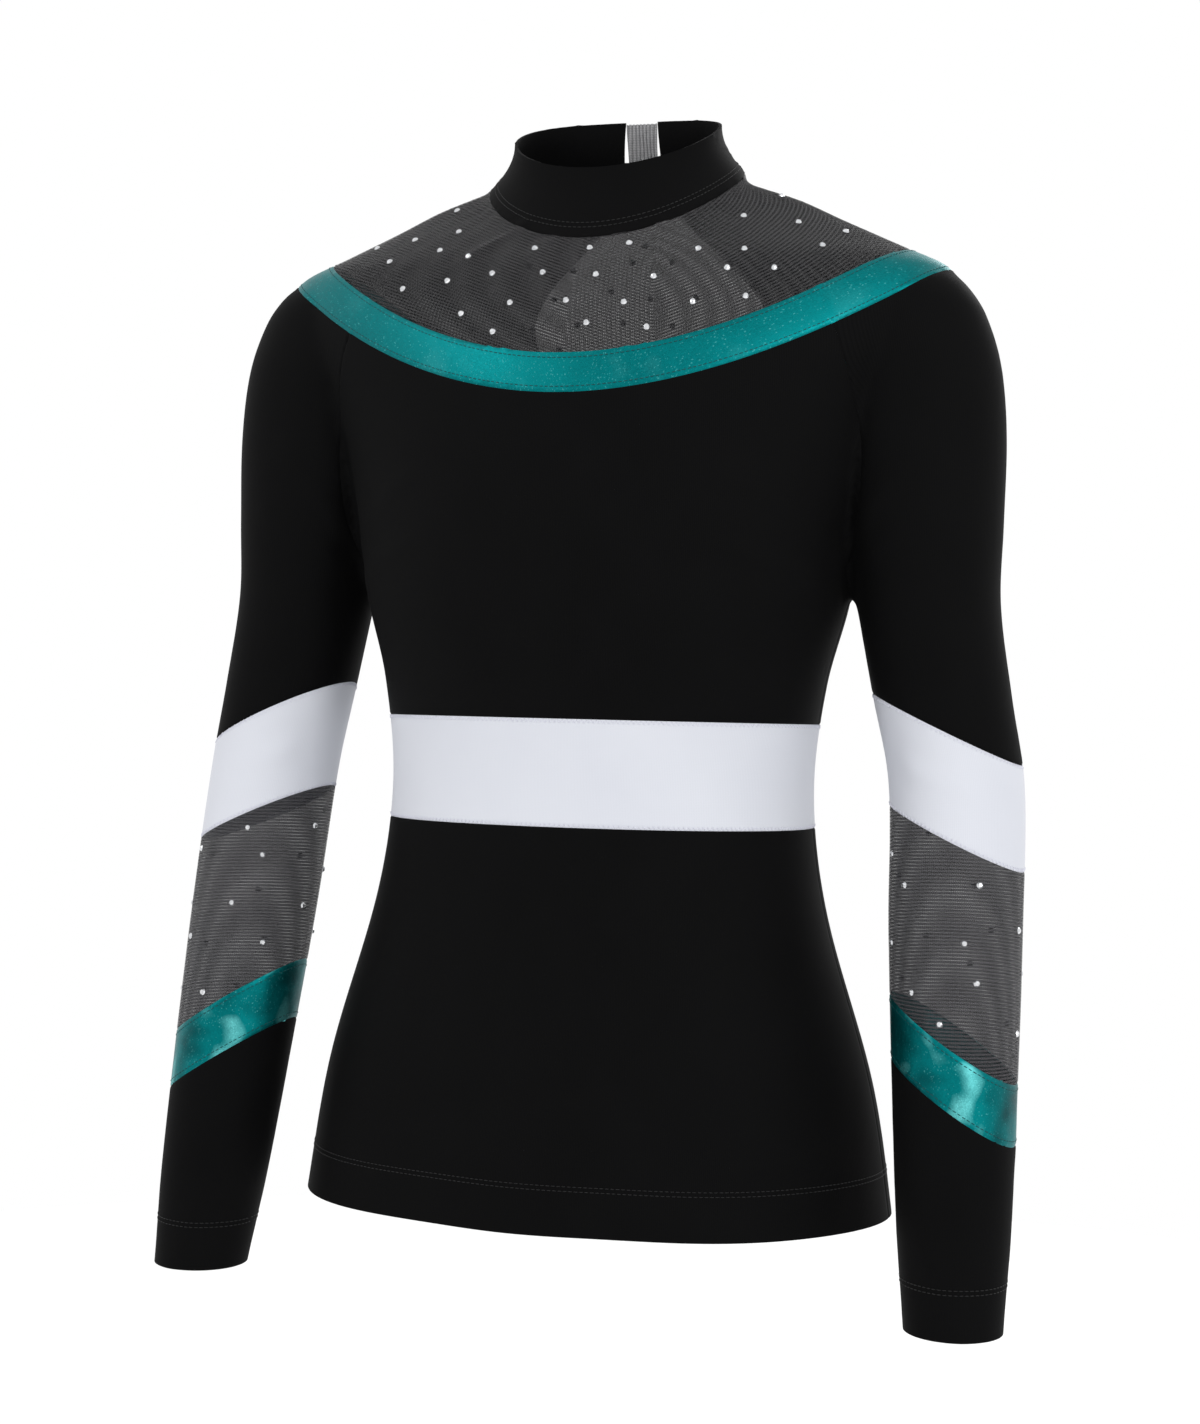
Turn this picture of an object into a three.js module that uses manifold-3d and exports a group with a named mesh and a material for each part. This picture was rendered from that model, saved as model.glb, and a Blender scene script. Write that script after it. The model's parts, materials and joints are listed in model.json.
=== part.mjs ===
// A long-sleeved, fitted cheer top, as a set of thin fabric shells with a small gap at each seam.
// Millimetres, +Z up. The wearer faces -Y, and the wearer's left side is on +X.
// Height 0 is the level of the highest shoulder points, beside the neck.

import * as THREE from "three";
import { mergeVertices } from "three/addons/utils/BufferGeometryUtils.js";
import Module from "manifold-3d";

const wasm = await Module();
wasm.setup();

// Driving dimensions.

const fabricWall = 2.5;
const seamGap = 0.4;

const neck = { halfWidth: 75, halfDepth: 65, front: -46, side: -1, back: 15 };
const rim = { halfWidth: 60, halfDepth: 55, front: -5, side: 27, back: 47 };
const backOpening = { topWidth: 20, baseWidth: 25, stripWidth: 18 };

const shoulder = { x: 195, z: -57, frontDepth: 74, backDepth: 93 };
const chest = { z: -205, halfWidth: 146, frontDepth: 110, backDepth: 98 };
const waist = { z: -350, halfWidth: 123, frontDepth: 95, backDepth: 83 };
const hem = { z: -587, halfWidth: 171, frontDepth: 115, backDepth: 113 };

const yokeBand = { shoulderX: 170, shoulderZ: -47, frontTop: -115, backTop: -123, width: 22, power: 1.95 };
const waistBand = { top: -312, bottom: -371 };
const keyhole = { top: 24, wide: 148, widestZ: -72, bottomZ: -115 };

const armhole = { topInset: 11, bulge: 3, bulgeZ: -130, underarmZ: -225, underarmInset: 3 };
const upperArm = { z: -243, radius: 40, depth: 43, torsoGap: 5 };
const elbow = { z: -343, radius: 37.5, depth: 40, torsoGap: 43.5 };
const cuff = { z: -630, radius: 26.5, depth: 28, torsoGap: 18, forward: 62 };

const elbowBand = { width: 60, slope: 24.5 };
const forearmFoil = { z: -497, width: 33, slope: 32 };
const swing = { outset: 4, rise: 3, clearance: 8 };

const aroundTorso = 32;
const aroundArm = 18;
const levelStep = 65;
const seamOverlap = 0.1;
const reach = 420;
const floorReach = -900;

// Finishes.

const finishes = {
  knit: { color: 0x111114, roughness: 0.72, metalness: 0 },
  mesh: { color: 0x3c3a40, roughness: 0.6, metalness: 0, transparent: true, opacity: 0.7 },
  linedMesh: { color: 0x2a292d, roughness: 0.65, metalness: 0 },
  gathered: { color: 0x8f8f92, roughness: 0.7, metalness: 0 },
  foil: { color: 0x0a8c88, roughness: 0.3, metalness: 0.7 },
  white: { color: 0xd9dbe6, roughness: 0.7, metalness: 0 },
};

// Geometry helpers.

function toSolid(geometry) {
  const merged = mergeVertices(positionOnly(geometry), 1e-4);
  return new wasm.Manifold(new wasm.Mesh({
    numProp: 3,
    vertProperties: new Float32Array(merged.attributes.position.array),
    triVerts: new Uint32Array(merged.index.array),
  }));
}

function positionOnly(geometry) {
  const bare = geometry.clone();
  bare.deleteAttribute("normal");
  bare.deleteAttribute("uv");
  return bare;
}

function toGeometry(solid) {
  const { vertProperties, triVerts } = solid.getMesh();
  const geometry = new THREE.BufferGeometry();
  geometry.setAttribute("position", new THREE.BufferAttribute(vertProperties, 3));
  geometry.setIndex(new THREE.BufferAttribute(triVerts, 1));
  geometry.computeVertexNormals();
  return geometry;
}

// Smooth curve through one key of a list of stations, which run from high to low.
function valueAt(stations, key, z) {
  const last = stations.length - 1;
  let i = stations.findIndex((station) => station.z <= z) - 1;
  if (i < -1) i = last - 1;
  i = Math.max(i, 0);
  const slope = (j) => {
    const above = stations[Math.max(j - 1, 0)];
    const below = stations[Math.min(j + 1, last)];
    return (below[key] - above[key]) / (below.z - above.z);
  };
  const from = stations[i];
  const to = stations[i + 1];
  const span = to.z - from.z;
  const t = (z - from.z) / span;
  const ease = t * t * (3 - 2 * t);
  const leave = t * (1 - t) * (1 - t) * span * slope(i);
  const arrive = t * t * (t - 1) * span * slope(i + 1);
  return from[key] * (1 - ease) + to[key] * ease + leave + arrive;
}

// Levels that pass through every station, with none further apart than the step.
function levelsThrough(stations, step) {
  const levels = [stations[0].z];
  for (let i = 1; i < stations.length; i += 1) {
    const from = stations[i - 1].z;
    const to = stations[i].z;
    const parts = Math.ceil((from - to) / step);
    for (let k = 1; k <= parts; k += 1) levels.push(from + ((to - from) * k) / parts);
  }
  return levels;
}

// A closed cylinder whose ring and angle go through a function that gives each point its place.
function ringStack(around, rows, place) {
  const geometry = positionOnly(new THREE.CylinderGeometry(1, 1, 1, around, rows, false));
  const merged = mergeVertices(geometry, 1e-4);
  const points = merged.attributes.position;
  for (let i = 0; i < points.count; i += 1) {
    const row = (0.5 - points.getY(i)) * rows;
    const out = Math.hypot(points.getX(i), points.getZ(i));
    const turn = Math.atan2(-points.getZ(i), points.getX(i));
    points.setXYZ(i, ...place(row, out < 0.5 ? 0 : 1, turn));
  }
  return merged;
}

// Moves every point of a closed form along its normal.
function inset(geometry, distance) {
  const moved = geometry.clone();
  moved.computeVertexNormals();
  const points = moved.attributes.position;
  const normals = moved.attributes.normal;
  for (let i = 0; i < points.count; i += 1) {
    points.setXYZ(
      i,
      points.getX(i) - normals.getX(i) * distance,
      points.getY(i) - normals.getY(i) * distance,
      points.getZ(i) - normals.getZ(i) * distance,
    );
  }
  return moved;
}

function signedPower(value, power) {
  return Math.sign(value) * Math.abs(value) ** power;
}

// An outline of [x, z] points, extruded along Y.
function alongY(outline, yLow, yHigh) {
  const shape = new THREE.Shape(outline.map(([x, z]) => new THREE.Vector2(x, z)));
  const geometry = new THREE.ExtrudeGeometry(shape, { depth: yHigh - yLow, bevelEnabled: false });
  geometry.rotateX(Math.PI / 2);
  geometry.translate(0, yHigh, 0);
  return toSolid(geometry);
}

// An outline of [y, z] points, extruded along X through the whole garment.
function alongX(outline) {
  const shape = new THREE.Shape(outline.map(([y, z]) => new THREE.Vector2(y, z)));
  const geometry = new THREE.ExtrudeGeometry(shape, { depth: 2 * reach, bevelEnabled: false });
  geometry.rotateX(Math.PI / 2);
  geometry.rotateZ(Math.PI / 2);
  geometry.translate(-reach, 0, 0);
  return toSolid(geometry);
}

function steps(from, to, count) {
  return Array.from({ length: count + 1 }, (_, i) => from + ((to - from) * i) / count);
}

// Forms: the outer surface of the neck, the torso and each arm.

function saddle({ front, side, back, halfDepth }) {
  return (y) => side + ((back - front) / 2) * (y / halfDepth)
    + ((front + back) / 2 - side) * (y / halfDepth) ** 2;
}

const neckSeam = saddle(neck);
const rimEdge = saddle(rim);

function neckForm() {
  const rows = 5;
  const above = 1.3;
  const below = -0.3;
  return ringStack(aroundTorso, rows, (row, out, turn) => {
    const up = above + ((below - above) * row) / rows;
    const flare = Math.min(1 - up, 1) ** 2;
    const seamY = neck.halfDepth * Math.sin(turn) * out;
    const rimY = rim.halfDepth * Math.sin(turn) * out;
    const x = (rim.halfWidth + (neck.halfWidth - rim.halfWidth) * flare) * Math.cos(turn) * out;
    const y = (rim.halfDepth + (neck.halfDepth - rim.halfDepth) * flare) * Math.sin(turn) * out;
    return [x, y, neckSeam(seamY) + (rimEdge(rimY) - neckSeam(seamY)) * up];
  });
}

// The ridge of the shoulder falls from the neck to the shoulder point.
function ridgeX(z) {
  const fall = (neck.side - z) / (neck.side - shoulder.z);
  return neck.halfWidth + (shoulder.x - neck.halfWidth) * fall ** 0.94;
}

function torsoStation(z, halfWidth, front, back, power, backPower = power) {
  return { z, halfWidth, front, back, power, backPower };
}

// From high to low: a level, its half width, its depths, and how square its corners are.
const torsoStations = [
  torsoStation(neck.back - 3, neck.halfWidth - 11, 5, neck.halfDepth - 1, 1.4, 2.2),
  torsoStation(neck.side, neck.halfWidth - 4, 20, neck.halfDepth + 9, 1.35, 2),
  torsoStation(-15, ridgeX(-15), 35, neck.halfDepth + 15, 1.35, 1.7),
  torsoStation(-28, ridgeX(-28), 48, neck.halfDepth + 20, 1.45, 1.65),
  torsoStation(-43, ridgeX(-43), 62, neck.halfDepth + 25, 1.6),
  torsoStation(shoulder.z, shoulder.x, shoulder.frontDepth, shoulder.backDepth, 1.7),
  torsoStation(-80, shoulder.x + 3, shoulder.frontDepth + 13, shoulder.backDepth + 3, 1.8),
  torsoStation(-105, shoulder.x - 6, chest.frontDepth - 12, chest.backDepth, 1.85),
  torsoStation(-130, chest.halfWidth + 25, chest.frontDepth - 6, chest.backDepth + 2, 1.95),
  torsoStation(-165, chest.halfWidth + 10, chest.frontDepth - 1, chest.backDepth + 2, 2),
  torsoStation(chest.z, chest.halfWidth, chest.frontDepth, chest.backDepth, 2.1),
  torsoStation(-243, chest.halfWidth - 5, chest.frontDepth - 2, chest.backDepth - 4, 2.1),
  torsoStation(-290, waist.halfWidth + 6, waist.frontDepth + 6, waist.backDepth + 4, 2.1),
  torsoStation(waist.z, waist.halfWidth, waist.frontDepth, waist.backDepth, 2.1),
  torsoStation(-415, waist.halfWidth + 8, waist.frontDepth + 2, waist.backDepth + 7, 2.1),
  torsoStation(-513, hem.halfWidth - 12, hem.frontDepth - 8, hem.backDepth - 5, 2.1),
  torsoStation(hem.z, hem.halfWidth, hem.frontDepth, hem.backDepth, 2.1),
  torsoStation(hem.z - 30, hem.halfWidth + 3, hem.frontDepth + 1, hem.backDepth + 1, 2.1),
];

function torsoForm() {
  const levels = levelsThrough(torsoStations, levelStep);
  return ringStack(aroundTorso, levels.length - 1, (row, out, turn) => {
    const z = levels[Math.round(row)];
    const at = (key) => valueAt(torsoStations, key, z);
    const isFront = Math.sin(turn) < 0;
    const sharpness = 2 / at(isFront ? "power" : "backPower");
    const depth = at(isFront ? "front" : "back");
    const x = at("halfWidth") * signedPower(Math.cos(turn), sharpness) * out;
    return [x, depth * signedPower(Math.sin(turn), sharpness) * out, z];
  });
}

const upperArmX = chest.halfWidth - 5 + upperArm.torsoGap + upperArm.radius;
const elbowX = waist.halfWidth + elbow.torsoGap + elbow.radius;
const cuffX = hem.halfWidth + cuff.torsoGap + cuff.radius + 1;
const capTopX = upperArmX - 16;
const pivot = {
  x: upperArmX + swing.outset,
  z: upperArm.z + swing.rise,
  radius: upperArm.radius + swing.clearance,
};

function forearmShare(z) {
  return (z - elbow.z) / (cuff.z - elbow.z);
}

const armStations = [
  { z: shoulder.z + 3, x: capTopX, y: 0, wide: 10, deep: 10 },
  { z: shoulder.z - 3, x: capTopX - 2, y: 0, wide: 28, deep: 24 },
  { z: shoulder.z - 11, x: capTopX - 2, y: 0, wide: 37, deep: 33 },
  { z: -82, x: capTopX - 1, y: 0, wide: 45, deep: 40 },
  { z: -110, x: capTopX + 4, y: 0, wide: 49, deep: 46 },
  { z: -150, x: upperArmX - 7, y: 0, wide: upperArm.radius + 8, deep: upperArm.depth + 4 },
  { z: -200, x: upperArmX - 4, y: 0, wide: upperArm.radius + 4.5, deep: upperArm.depth + 3 },
  { z: upperArm.z, x: upperArmX, y: 0, wide: upperArm.radius, deep: upperArm.depth },
  { z: -295, x: (upperArmX + elbowX) / 2, y: 0, wide: elbow.radius + 1, deep: elbow.depth + 1 },
  { z: elbow.z, x: elbowX, y: 0, wide: elbow.radius, deep: elbow.depth },
  forearmStation(-420, 0.92),
  forearmStation(-500, 0.68),
  forearmStation(-580, 0.36),
  forearmStation(cuff.z, 0),
  forearmStation(cuff.z - 30, -0.1),
];

function forearmStation(z, fullness) {
  const share = forearmShare(z);
  return {
    z,
    x: elbowX + (cuffX - elbowX) * share,
    y: -cuff.forward * share,
    wide: cuff.radius + (elbow.radius - cuff.radius) * fullness,
    deep: cuff.depth + (elbow.depth - cuff.depth) * fullness,
  };
}

function armForm(side) {
  const levels = levelsThrough(armStations, levelStep);
  return ringStack(aroundArm, levels.length - 1, (row, out, turn) => {
    const z = levels[Math.round(row)];
    const at = (key) => valueAt(armStations, key, z);
    const x = side * at("x") + at("wide") * Math.cos(turn) * out;
    return [x, at("y") + at("deep") * Math.sin(turn) * out, z];
  });
}

function union(solids) {
  return solids.reduce((whole, solid) => whole.add(solid));
}

const forms = [torsoForm(), neckForm(), armForm(1), armForm(-1)];
const outer = union(forms.map((form) => toSolid(form)));
const inner = union(forms.map((form) => toSolid(inset(form, fabricWall))));
const shell = outer.subtract(inner);

// Seam lines, seen from the front, as [x, z] points.

const halfGap = seamGap / 2;

const bandReach = 1.1 * shoulder.x;

function bandLine(centre, shoulderX, shoulderZ, shift) {
  const rise = shoulderZ - centre;
  return [-reach, ...steps(-bandReach, bandReach, 26), reach].map((x) => [
    x,
    centre + rise * (Math.abs(x) / shoulderX) ** yokeBand.power + shift,
  ]);
}

function bandTop(centre, shift) {
  return bandLine(centre, yokeBand.shoulderX, yokeBand.shoulderZ, shift);
}

function bandBottom(centre, shift) {
  return bandLine(centre - yokeBand.width, shoulder.x, shoulder.z, shift);
}

function above(line) {
  return [...line, [reach, reach], [-reach, reach]];
}

function below(line) {
  return [...line, [reach, floorReach], [-reach, floorReach]];
}

// The armhole seam, and under the arm a line midway between the torso and the sleeve.
function armholeX(z) {
  const topZ = -85;
  if (z > armhole.underarmZ) {
    const fall = (topZ - z) / (topZ - armhole.underarmZ);
    const crest = (topZ - armhole.bulgeZ) / (topZ - armhole.underarmZ);
    const start = chest.halfWidth - armhole.topInset;
    const end = chest.halfWidth - armhole.underarmInset;
    const bow = chest.halfWidth + armhole.bulge - start - (end - start) * crest;
    return start + (end - start) * fall + (bow * fall * (1 - fall)) / (crest * (1 - crest));
  }
  const level = Math.max(z, cuff.z - 30);
  const torsoX = valueAt(torsoStations, "halfWidth", Math.max(level, hem.z - 30));
  const sleeveX = valueAt(armStations, "x", level) - valueAt(armStations, "wide", level);
  return (torsoX + sleeveX) / 2;
}

const armholeLevels = [...steps(-60, armhole.underarmZ, 12), ...steps(-245, floorReach, 16)];

function torsoSide(shift) {
  const right = armholeLevels.map((z) => [armholeX(z) - shift, z]);
  const left = armholeLevels.map((z) => [shift - armholeX(z), z]).reverse();
  return [...right, ...left];
}

function sleeveSide(side, shift) {
  const seam = armholeLevels.map((z) => [side * (armholeX(z) + shift), z]);
  return [...seam, [side * reach, floorReach], [side * reach, armholeLevels[0]]];
}

const everywhere = [-reach, reach];
const frontHalf = [-reach, -halfGap];
const backHalf = [halfGap, reach];
const torsoColumn = alongY(torsoSide(halfGap), ...everywhere);

function levelBand(top, bottom, half) {
  return alongY([[-reach, top], [reach, top], [reach, bottom], [-reach, bottom]], ...half);
}

// Collar and back opening.

function neckRegion(edge, shift, far) {
  const nearNeck = 1.3 * neck.halfDepth;
  const line = steps(-nearNeck, nearNeck, 18).map((y) => [y, edge(y) + shift]);
  return alongX([[-reach, line[0][1]], ...line, [reach, line.at(-1)[1]], [reach, far], [-reach, far]]);
}

const aboveSeam = neckRegion(neckSeam, halfGap, reach);
const belowSeam = neckRegion(neckSeam, -halfGap, floorReach);
const belowRim = neckRegion(rimEdge, 0, floorReach);

const openingFoot = neck.back - 2;
const openingCut = alongY([
  [-backOpening.topWidth / 2, rim.back],
  [-backOpening.topWidth / 2, reach],
  [backOpening.topWidth / 2, reach],
  [backOpening.topWidth / 2, rim.back],
  [backOpening.baseWidth / 2, openingFoot],
  [-backOpening.baseWidth / 2, openingFoot],
], ...backHalf);

const collar = shell.intersect(aboveSeam).intersect(belowRim).subtract(openingCut);

// The insert fills a drop-shaped window that widens from the neck seam downwards.
function dropOutline(shift) {
  const topHalf = keyhole.top / 2;
  const wideHalf = keyhole.wide / 2;
  const topZ = neck.back + 20;
  const side = steps(0, 1, 10).map((t) => {
    const ease = t * t * (3 - 2 * t);
    return [topHalf + (wideHalf - topHalf) * ease + shift, neck.back + (keyhole.widestZ - neck.back) * t];
  });
  const foot = steps(0, Math.PI / 2, 8).slice(1).map((turn) => [
    (wideHalf + shift) * Math.cos(turn) ** 0.8,
    keyhole.widestZ + (keyhole.bottomZ - shift - keyhole.widestZ) * Math.sin(turn),
  ]);
  const right = [[topHalf + shift, topZ], ...side, ...foot.slice(0, -1), [0, foot.at(-1)[1]]];
  const left = right.slice(0, -1).reverse().map(([x, z]) => [-x, z]);
  return [...right, ...left];
}

const stripHalf = backOpening.stripWidth / 2;
const stripFoot = neck.back - 14;
const stripColumn = alongY([
  [-stripHalf, reach],
  [stripHalf, reach],
  [stripHalf, stripFoot],
  [-stripHalf, stripFoot],
], ...backHalf);
const aroundStrip = alongY([
  [-stripHalf - seamGap, reach],
  [stripHalf + seamGap, reach],
  [stripHalf + seamGap, stripFoot - seamGap],
  [-stripHalf - seamGap, stripFoot - seamGap],
], ...backHalf);

const backYokeAll = shell
  .intersect(belowSeam)
  .intersect(alongY(above(bandTop(yokeBand.backTop, halfGap)), ...backHalf));
const backInsert = backYokeAll
  .intersect(alongY(dropOutline(-halfGap), ...backHalf))
  .subtract(aroundStrip);
const backYoke = backYokeAll.subtract(alongY(dropOutline(halfGap), ...backHalf));
const keyholeStrip = shell.intersect(belowRim).intersect(stripColumn);

const frontYoke = shell
  .intersect(belowSeam)
  .intersect(alongY(above(bandTop(yokeBand.frontTop, halfGap)), ...frontHalf));

function yokeBandPiece(centre, half) {
  return shell
    .intersect(belowSeam)
    .intersect(alongY(below(bandTop(centre, -halfGap)), ...half))
    .intersect(alongY(above(bandBottom(centre, halfGap)), ...half));
}

function bodice(centre, half) {
  return shell
    .intersect(torsoColumn)
    .intersect(alongY(below(bandBottom(centre, -halfGap)), ...half))
    .intersect(levelBand(reach, waistBand.top + halfGap, half));
}

function torsoRing(top, bottom, half) {
  return shell.intersect(torsoColumn).intersect(levelBand(top, bottom, half));
}

// Sleeves: a cap on the shoulder, then pieces parted by slanted lines, lower on the outside.

function slantLine(side, z, slope) {
  const x = valueAt(armStations, "x", z);
  const fall = Math.tan(THREE.MathUtils.degToRad(slope));
  const at = (far) => [side * far, z - (far - x) * fall];
  return [at(0), at(reach)];
}

function slantBand(side, top, bottom, slope) {
  const level = (z) => [[0, z], [side * reach, z]];
  const upper = top === null ? level(reach) : slantLine(side, top, slope);
  const lower = bottom === null ? level(floorReach) : slantLine(side, bottom, slope);
  return alongY([...upper, ...lower.reverse()], ...everywhere);
}

// The cap ends in a round face about the sleeve's hinge, so the sleeve can swing out past it.
function hingeDisc(side, radius) {
  const outline = steps(0, 2 * Math.PI, 60).slice(1).map((turn) => [
    side * pivot.x + radius * Math.cos(turn),
    pivot.z + radius * Math.sin(turn),
  ]);
  return alongY(outline, ...everywhere);
}

function sleevePieces(side) {
  const belowBand = union([
    alongY(below(bandBottom(yokeBand.frontTop, -halfGap)), -reach, seamOverlap),
    alongY(below(bandBottom(yokeBand.backTop, -halfGap)), -seamOverlap, reach),
  ]);
  const sleeve = shell.intersect(alongY(sleeveSide(side, halfGap), ...everywhere)).intersect(belowBand);
  const bandHigh = elbow.z + elbowBand.width / 2;
  const bandLow = elbow.z - elbowBand.width / 2;
  const foilHigh = forearmFoil.z + forearmFoil.width / 2;
  const foilLow = forearmFoil.z - forearmFoil.width / 2;
  const part = (top, topSlope, bottom, bottomSlope) => sleeve
    .intersect(slantBand(side, top, null, topSlope))
    .intersect(slantBand(side, null, bottom, bottomSlope));
  const upper = sleeve.intersect(slantBand(side, null, bandHigh + halfGap, elbowBand.slope));
  const capReach = slantBand(side, null, pivot.z, 0).add(hingeDisc(side, pivot.radius - halfGap));
  const upperReach = slantBand(side, pivot.z, null, 0).subtract(hingeDisc(side, pivot.radius + halfGap));
  return {
    cap: upper.intersect(capReach),
    upper: upper.intersect(upperReach),
    elbow_band: part(bandHigh - halfGap, elbowBand.slope, bandLow + halfGap, elbowBand.slope),
    mesh: part(bandLow - halfGap, elbowBand.slope, foilHigh + halfGap, forearmFoil.slope),
    foil_band: part(foilHigh - halfGap, forearmFoil.slope, foilLow + halfGap, forearmFoil.slope),
    cuff: part(foilLow - halfGap, forearmFoil.slope, cuff.z, 0),
  };
}

// The assembly.

const cheerTop = new THREE.Group();

function addPiece(name, solid, finish) {
  const mesh = new THREE.Mesh(toGeometry(solid), new THREE.MeshStandardMaterial(finishes[finish]));
  mesh.name = name;
  cheerTop.add(mesh);
}

addPiece("collar", collar, "knit");
addPiece("keyhole_strip", keyholeStrip, "gathered");
addPiece("front_yoke", frontYoke, "mesh");
addPiece("back_yoke", backYoke, "linedMesh");
addPiece("back_insert", backInsert, "mesh");
addPiece("yoke_band_front", yokeBandPiece(yokeBand.frontTop, frontHalf), "foil");
addPiece("yoke_band_back", yokeBandPiece(yokeBand.backTop, backHalf), "foil");
addPiece("front_bodice", bodice(yokeBand.frontTop, frontHalf), "knit");
addPiece("back_bodice", bodice(yokeBand.backTop, backHalf), "knit");

const waistHigh = waistBand.top - halfGap;
const waistLow = waistBand.bottom + halfGap;
addPiece("waist_band_front", torsoRing(waistHigh, waistLow, frontHalf), "white");
addPiece("waist_band_back", torsoRing(waistHigh, waistLow, backHalf), "white");
addPiece("lower_front", torsoRing(waistBand.bottom - halfGap, hem.z, frontHalf), "knit");
addPiece("lower_back", torsoRing(waistBand.bottom - halfGap, hem.z, backHalf), "knit");

const sleeveFinish = {
  cap: "knit",
  upper: "knit",
  elbow_band: "white",
  mesh: "mesh",
  foil_band: "foil",
  cuff: "knit",
};

for (const [name, side] of [["left", 1], ["right", -1]]) {
  for (const [piece, solid] of Object.entries(sleevePieces(side))) {
    addPiece(`${name}_sleeve_${piece}`, solid, sleeveFinish[piece]);
  }
}

export default cheerTop;
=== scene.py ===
import json
import math
import random

import bpy
import numpy as np
from mathutils import Matrix, Vector
from mathutils.bvhtree import BVHTree

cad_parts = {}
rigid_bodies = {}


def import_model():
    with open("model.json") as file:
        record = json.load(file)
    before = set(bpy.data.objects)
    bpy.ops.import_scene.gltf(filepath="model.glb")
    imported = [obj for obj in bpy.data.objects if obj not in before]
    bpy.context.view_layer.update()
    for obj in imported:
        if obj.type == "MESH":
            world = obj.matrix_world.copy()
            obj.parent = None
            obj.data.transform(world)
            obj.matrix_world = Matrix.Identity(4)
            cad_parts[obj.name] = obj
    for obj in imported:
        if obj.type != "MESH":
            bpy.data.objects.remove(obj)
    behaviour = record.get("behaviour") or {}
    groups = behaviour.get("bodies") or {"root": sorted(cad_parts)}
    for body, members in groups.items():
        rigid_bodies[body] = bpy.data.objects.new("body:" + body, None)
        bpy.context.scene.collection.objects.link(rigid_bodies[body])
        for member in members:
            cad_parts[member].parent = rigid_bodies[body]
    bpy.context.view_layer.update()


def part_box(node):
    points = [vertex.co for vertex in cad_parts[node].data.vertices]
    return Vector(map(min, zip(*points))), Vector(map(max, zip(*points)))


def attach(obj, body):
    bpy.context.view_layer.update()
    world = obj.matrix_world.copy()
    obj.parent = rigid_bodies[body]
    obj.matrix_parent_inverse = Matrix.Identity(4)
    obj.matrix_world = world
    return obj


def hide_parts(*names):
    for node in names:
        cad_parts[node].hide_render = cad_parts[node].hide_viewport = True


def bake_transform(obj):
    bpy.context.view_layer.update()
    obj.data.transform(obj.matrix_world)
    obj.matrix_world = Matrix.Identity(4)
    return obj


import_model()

# A long-sleeved, fitted cheer top. Lengths are in millimetres until a mesh is made; +X is the wearer's left.

mm = 0.001
draw = random.Random(11)


def nodeBox(name):
    low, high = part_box(name)
    return np.array(low) / mm, np.array(high) / mm


collarHigh = nodeBox("collar")[1]
waistLow, waistHigh = nodeBox("waist_band_front")

levels = {
    "waistTop": waistHigh[2],
    "waistBottom": waistLow[2],
    "hem": nodeBox("lower_front")[0][2],
    "cuff": nodeBox("left_sleeve_cuff")[0][2],
}

# Shared tools.


def pointsOf(piece):
    flat = np.empty(len(piece.data.vertices) * 3, np.float32)
    piece.data.vertices.foreach_get("co", flat)
    return flat.reshape(-1, 3).astype(np.float64) / mm


def setPoints(piece, points):
    piece.data.vertices.foreach_set("co", (points * mm).astype(np.float32).ravel())
    piece.data.update()


def centresOf(piece):
    flat = np.empty(len(piece.data.polygons) * 3, np.float32)
    piece.data.polygons.foreach_get("center", flat)
    return flat.reshape(-1, 3).astype(np.float64) / mm


def normalsOf(piece):
    flat = np.empty(len(piece.data.vertices) * 3, np.float32)
    piece.data.vertex_normals.foreach_get("vector", flat)
    return flat.reshape(-1, 3).astype(np.float64)


def onlySelect(*pieces):
    bpy.ops.object.select_all(action="DESELECT")
    for piece in pieces:
        piece.select_set(True)
    bpy.context.view_layer.objects.active = pieces[0]


def selectFaces(piece, chosen):
    onlySelect(piece)
    bpy.context.tool_settings.mesh_select_mode = (False, False, True)
    bpy.ops.object.mode_set(mode="EDIT")
    bpy.ops.mesh.select_all(action="DESELECT")
    bpy.ops.object.mode_set(mode="OBJECT")
    piece.data.polygons.foreach_set("select", chosen)


def applyModifier(piece, kind, **settings):
    onlySelect(piece)
    modifier = piece.modifiers.new(kind.title(), kind)
    for key, value in settings.items():
        setattr(modifier, key, value)
    bpy.ops.object.modifier_apply(modifier=modifier.name)


def mixed(low, high, share):
    return low + (high - low) * share


def eased(share):
    share = np.clip(share, 0, 1)
    return share * share * (3 - 2 * share)


# The forms: neck, torso and arm, as smooth curves through stations that run from high to low.

neck = {"halfWidth": 75, "halfDepth": 65, "front": -46, "side": -1, "back": 15}
rim = {"halfWidth": 60, "halfDepth": 55, "front": -5, "side": 27, "back": 47}


def saddle(shape, y):
    share = y / shape["halfDepth"]
    rise = (shape["back"] - shape["front"]) / 2
    bow = (shape["front"] + shape["back"]) / 2 - shape["side"]
    return shape["side"] + rise * share + bow * share ** 2


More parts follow.
